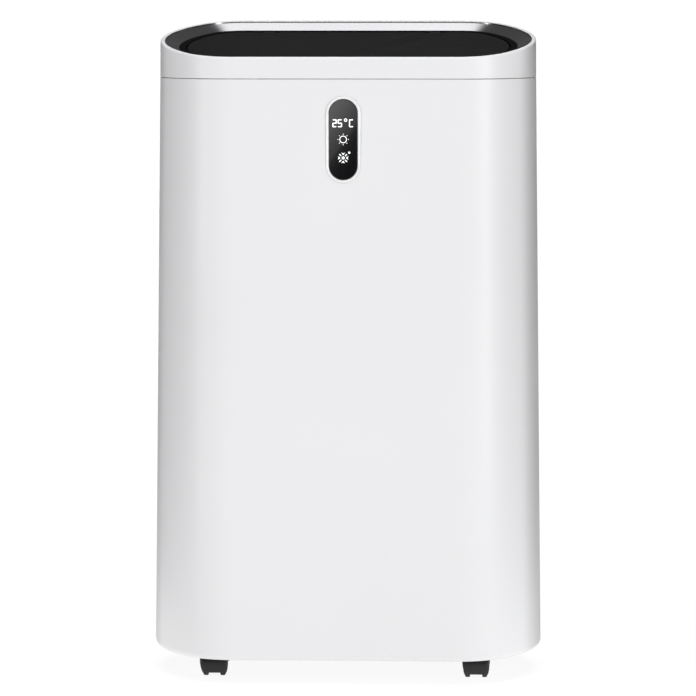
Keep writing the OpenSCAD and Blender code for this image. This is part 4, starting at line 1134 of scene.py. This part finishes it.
@dataclass
class Casters:
    """Four twin-wheel casters: hood, hub webs and wheels."""

    paint: Paintshop
    wheel_r: float = 0.015
    wheel_gap: float = 0.013
    tread_w: float = 0.005
    hood_in: float = 0.016
    hood_out: float = 0.018
    hood_start: float = -8
    hood_end: float = 214
    short_hood_end: float = 188
    low_fork: float = -0.009
    hood_steps: int = 56
    taper_from: float = 170
    taper: float = 0.17

    def build(self) -> None:
        """Builds the four casters at their bodies' places."""
        for i in range(1, 5):
            lo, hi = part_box(f"caster_wheels_{i}")
            centre = ((lo.x + hi.x) / 2, (lo.y + hi.y) / 2, (lo.z + hi.z) / 2)
            self._wheels(i, centre)
            self._fork(i, centre)

    def _wheels(self, i: int, centre: Point) -> None:
        """Two domed wheels with a soft tread, on one axle.

        Args:
            i: The caster's number.
            centre: The middle of the axle.
        """
        r, near = self.wheel_r, self.wheel_gap / 2
        far = near + self.tread_w
        parts: list[Piece] = []
        for side in (-1, 1):
            section = [
                (0.002, near + 0.0006), (0.0105, near + 0.0006), (0.0112, near), (r - 0.0006, near), (r, near + 0.0006),
                (r, far - 0.0012), (r - 0.0003, far - 0.0004), (r - 0.0011, far + 0.0001), (r - 0.0013, far - 0.0003),
                (r - 0.0018, far - 0.0002), (r - 0.0020, far + 0.0004), (r * 0.75, far + 0.0014),
                (r * 0.55, far + 0.0021), (r * 0.34, far + 0.0024), (r * 0.31, far + 0.0018),
                (r * 0.26, far + 0.0018), (r * 0.24, far + 0.0024), (0.002, far + 0.0024),
            ]
            turned = [(a, side * b) for a, b in section]
            parts.append(lathe("wheel", turned[::side], centre, "X", 72))
        parts.append(lathe("axle", self._spool(0.0002, 0.0020, far + 0.0022, 0.0003, 0.0004), centre, "X", 32))
        pair = join(f"wheel_pair_{i}", parts)
        self.paint.place(pair, Coat.TREAD, f"wheels_{i}", "caster_plastic", [f"caster_wheels_{i}"], 35)

    def _spool(self, bore: float, r: float, half: float, step: float, run: float) -> list[Flat]:
        """The section of a short cylinder with chamfered ends, a step in and a run along."""
        side = [(bore, -half), (r - step, -half), (r, run - half)]
        return side + [(a, -b) for a, b in side[::-1]]

    def _fork(self, i: int, centre: Point) -> None:
        """The hood over both wheels, the web between them and the round socket for the stem.

        Args:
            i: The caster's number.
            centre: The middle of the axle.
        """
        half = self.wheel_gap / 2 + self.tread_w + 0.003
        x, y, z = centre
        near, far = self.hood_in, self.hood_out
        section: list[Flat] = [
            (near, -half + 0.0008), (near + 0.0004, -half + 0.0002), (near + 0.001, -half),
            (far - 0.0011, -half + 0.0005), (far - 0.0003, -half + 0.0019), (far, -half + 0.0045),
        ]
        section += [(r, -w) for r, w in section[::-1]]
        lo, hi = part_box(f"caster_fork_{i}")
        top = hi.z
        end = self.hood_end if lo.z - z <= self.low_fork else self.short_hood_end
        start, stop = math.radians(self.hood_start), math.radians(end)
        loops = []
        for k in range(self.hood_steps + 1):
            a = start + (stop - start) * k / self.hood_steps
            near_end = min(1.0, max(0.0, (math.degrees(a) - self.taper_from) / (self.hood_end - self.taper_from)))
            waist = 1 - self.taper * near_end**1.5
            loops.append([(x + w * waist, y + r * math.cos(a), z + r * math.sin(a)) for r, w in section])
        hood = sweep("hood", loops, closed=False)
        web_half = self.wheel_gap / 2 - 0.0003
        web = lathe("web", self._spool(0.00205, 0.0095, web_half, 0.0005, 0.0005), centre, "X", 48)
        stem_y = y - 0.009
        keel = [(stem_y - 0.007, z + 0.004), (stem_y - 0.0055, z + 0.001), (y + 0.009, z + 0.001),
                (y + 0.013, z + 0.010), (y + 0.004, top - 0.008), (stem_y - 0.007, top - 0.008)]
        spine = sweep("spine", [[(x + s * web_half, a, b) for a, b in keel] for s in (-1, 1)], closed=False)
        bore, foot = 0.00405, top - 0.0116
        sleeve = [(bore, foot), (0.0080, foot), (0.0080, top - 0.0006), (0.0074, top), (bore, top)]
        socket = lathe("socket", sleeve, (x, stem_y, 0), "Z", 48)
        self.paint.place(join(f"hood_{i}", [hood, web, spine, socket]), Coat.CASTER, f"caster_{i}", "caster_plastic",
                         [f"caster_fork_{i}"], 35)


@dataclass
class CoilPacks:
    """Both coils as packs of thin fins."""

    paint: Paintshop
    pitch: float = 0.0022
    thickness: float = 0.0004

    def build(self) -> None:
        """Builds the fins of both coils."""
        for node in ("evaporator_fins", "condenser_fins"):
            lo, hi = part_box(node)
            count = math.floor((hi.x - lo.x - self.thickness) / self.pitch)
            bm = bmesh.new()
            for k in range(count + 1):
                x = lo.x + self.thickness / 2 + (hi.x - lo.x - self.thickness) * k / count
                size = Matrix.Diagonal((self.thickness, hi.y - lo.y, hi.z - lo.z, 1))
                place = Matrix.Translation((x, (lo.y + hi.y) / 2, (lo.z + hi.z) / 2))
                bmesh.ops.create_cube(bm, size=1, matrix=place @ size)
            self.paint.place(to_object(node.replace("_fins", "_pack"), bm), Coat.FINS, "housing", "aluminium", [node])


class Inside:
    """The CAD nodes that keep their shape and get a finish."""

    FINISHES: dict[Coat, tuple[str, ...]] = {
        Coat.BLACK: ("outlet_grille", "outlet_duct", "tank_handle"),
        Coat.BOARD: ("display_board", "control_board"),
        Coat.STEEL: ("flap_hinge_pins", "screws", "compressor_bolts", "fan_shaft", "fan_nut", "caster_stems"),
        Coat.BASE: ("base_pan", "mid_deck"),
        Coat.INNER: ("coil_shroud", "fan_scroll", "scroll_cover", "control_box", "drip_tray"),
        Coat.FAN: ("fan_wheel", "filter_frame"),
        Coat.MESH: ("filter_mesh",),
        Coat.TANK: ("water_tank",),
        Coat.LID: ("tank_lid", "tank_float", "drain_spigot"),
        Coat.BLACK_STEEL: ("compressor", "accumulator"),
        Coat.ALUMINIUM: ("capacitor",),
        Coat.COPPER: ("evaporator_tubes", "condenser_tubes", "suction_pipe", "discharge_pipe", "filter_drier",
                      "capillary_tube"),
        Coat.MOTOR: ("fan_motor",),
        Coat.RUBBER: ("compressor_grommets", "drain_hose", "drain_plug", "cord_gland"),
    }

    def __init__(self, paint: Paintshop) -> None:
        """Keeps the paintshop."""
        self.paint = paint

    def build(self) -> None:
        """Gives each node its finish."""
        for coat, names in self.FINISHES.items():
            for name in names:
                self.paint.dress(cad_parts[name], coat)
                LOG.info("%s finished in %s", name, coat.name.lower())


# ---------------------------------------------------------------- studio


@dataclass
class Softbox:
    """One rectangular lamp aimed at a point."""

    name: str
    place: Point
    aim: Point
    size: Flat
    power: float

    def build(self) -> None:
        """Adds the lamp."""
        data = bpy.data.lights.new(self.name, "AREA")
        data.shape, data.size, data.size_y, data.energy = "RECTANGLE", self.size[0], self.size[1], self.power
        lamp = bpy.data.objects.new(self.name, data)
        bpy.context.scene.collection.objects.link(lamp)
        lamp.location = self.place
        lamp.rotation_euler = (Vector(self.aim) - Vector(self.place)).to_track_quat("-Z", "Y").to_euler()
        lamp.visible_camera = False


@dataclass
class Studio:
    """Floor, soft light and camera."""

    azimuth: float = math.radians(2.5)
    distance: float = 4.2
    eye_z: float = 0.71105
    aim_z: float = 0.34354
    aim_x: float = -0.0002
    lens: float = 203.245
    sky_cap: float = 6.0
    sky_base: float = 0.10
    floor_glow: float = 0.93
    right_flag: float = -0.280
    left_flag: float = -0.215

    def build(self) -> None:
        """Builds the stage."""
        self._camera()
        self._floor()
        self._flags()
        self._mirror_card()
        self._world()
        for lamp in (
            Softbox("key", (3.60, -2.52, 1.1), (0, 0, 0.35), (0.55, 2.2), 100.0),
            Softbox("fill", (-3.85, -2.12, 1.1), (0, 0, 0.35), (0.45, 2.2), 66.0),
        ):
            lamp.build()

    def _camera(self) -> None:
        """A long lens, level in roll, a little above the top."""
        data = bpy.data.cameras.new("camera")
        data.lens, data.sensor_width, data.clip_end = self.lens, 36.0, 2000.0
        camera = bpy.data.objects.new("camera", data)
        bpy.context.scene.collection.objects.link(camera)
        camera.location = (self.distance * math.sin(self.azimuth), -self.distance * math.cos(self.azimuth), self.eye_z)
        aim = Vector((self.aim_x, 0, self.aim_z)) - camera.location
        camera.rotation_euler = aim.to_track_quat("-Z", "Y").to_euler()
        bpy.context.scene.camera = camera

    def _floor(self) -> None:
        """A large pale floor, a little lit from within like a light table."""
        bm = bmesh.new()
        bmesh.ops.create_circle(bm, cap_ends=True, radius=900, segments=64)
        floor = to_object("floor", bm)
        material, _, _ = principled("floor", {
            "Base Color": (0.10, 0.10, 0.10), "Roughness": 0.9, "Specular IOR Level": 0.0,
            "Emission Color": (1.0, 1.0, 1.0), "Emission Strength": self.floor_glow,
        })
        floor.data.materials.append(material)

    def _flags(self) -> None:
        """Two black cards beside the object, unseen by the camera, that deepen the shade on its ends."""
        material, _, _ = principled("flag", {"Base Color": (0.01, 0.01, 0.01), "Roughness": 1.0})
        for x, front in ((0.52, self.right_flag), (-0.52, self.left_flag)):
            card = prism("flag", [(x, 0.02), (x, 0.85), (x + 0.01, 0.85), (x + 0.01, 0.02)], front, 0.50)
            card.data.materials.append(material)
            card.visible_camera = False

    def _mirror_card(self) -> None:
        """A card in front of the object, seen only in its gloss: dark below a slanted edge, softly lit above it."""
        foot, along, up = Vector((-0.0848, 0, 0.493)), Vector((0.5857, 0, 0.8105)), Vector((-0.8105, 0, 0.5857))
        bm = bmesh.new()
        corners = ((-0.35, -0.30), (0.35, -0.30), (0.35, 0.12), (-0.35, 0.12))
        bm.faces.new([bm.verts.new(along * a + up * b) for a, b in corners])
        card = to_object("mirror_card", bm)
        card.location = foot + Vector((0, -1.6, 0))
        material, w, shader = principled("mirror_card", {
            "Base Color": (0.0, 0.0, 0.0), "Specular IOR Level": 0.0, "Emission Color": (1.0, 1.0, 1.0),
        })
        across = w.node("VectorMath", operation="DOT_PRODUCT")
        across.inputs[1].default_value = up
        w.link(w.node("TexCoord").outputs["Object"], across.inputs[0])
        height = across.outputs["Value"]
        lit = w.math("MULTIPLY", w.band(height, -0.0006, 0.0006), w.band(height, 0.0, 0.055, 0.45, 1.7))
        line = w.math("MULTIPLY", w.band(height, -0.0030, -0.0015, 0.0, 0.5), w.band(height, 0.0, 0.0015, 1.0, 0.0))
        w.link(w.math("ADD", w.math("ADD", lit, line), 0.02), shader.inputs["Emission Strength"])
        card.data.materials.append(material)
        card.visible_camera = card.visible_diffuse = card.visible_shadow = card.visible_transmission = False

    def _world(self) -> None:
        """Dim surroundings with one large soft light straight overhead."""
        world = bpy.data.worlds.new("surroundings")
        world.use_nodes = True
        w = Wiring(world.node_tree)
        sky = world.node_tree.nodes["Background"]
        split = w.node("SeparateXYZ")
        w.link(w.node("TexCoord").outputs["Generated"], split.inputs[0])
        cap = w.band(split.outputs["Z"], 0.90, 0.95, self.sky_base, self.sky_cap)
        seen = w.node("Mix", data_type="FLOAT")
        w.link(w.node("LightPath").outputs["Is Camera Ray"], seen.inputs["Factor"])
        w.link(cap, seen.inputs["A"])
        seen.inputs["B"].default_value = 1.05
        w.link(seen.outputs["Result"], sky.inputs["Strength"])
        sky.inputs["Color"].default_value = (0.985, 0.985, 1.0, 1.0)
        bpy.context.scene.world = world
        bpy.context.scene.view_settings.view_transform = "Standard"


# ---------------------------------------------------------------- assembly


def back_holes() -> tuple[list[list[Flat]], list[Well]]:
    """Lists the rear cover's holes.

    Returns:
        The outlines of the openings, and X, Z, radius and depth of each well.
    """
    openings = [inset(*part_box(node), -0.001, 0.007) for node in ("intake_grille", "tank_front")]
    openings.append(circle(*middle("cord_gland"), 0.009))
    wells = [(*middle("drain_spigot"), 0.015, 0.014)]
    lo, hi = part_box("screws")
    head_r = 0.0036
    for x in (lo.x + head_r, hi.x - head_r):
        for z in (lo.z + head_r, hi.z - head_r):
            wells.append((x, z, 0.004, 0.002))
    return openings, wells


def main() -> None:
    """Builds every sub-assembly in order."""
    logging.basicConfig(level=logging.INFO, format="%(message)s")
    Studio().build()
    plan, paint = Plan(), Paintshop()
    cabinet = Cabinet(plan, paint)
    display = Display(plan, paint)
    display.build()
    recess = display.pill(0.0002, display.ring_lo, display.ring_hi)
    cabinet.build_front(display.pill(0.0002, display.lo, display.hi), recess, display.ring_hi.y)
    cabinet.build_rear(*back_holes())
    cabinet.build_cups()
    top = Top(plan, paint)
    top.build_ring()
    top.build_bezel()
    top.build_frame()
    top.build_flap()
    panels = RearPanels(plan, paint, cabinet)
    panels.build_grille()
    panels.build_tank_front()
    Casters(paint).build()
    CoilPacks(paint).build()
    Inside(paint).build()


if __name__ == "__main__":
    main()
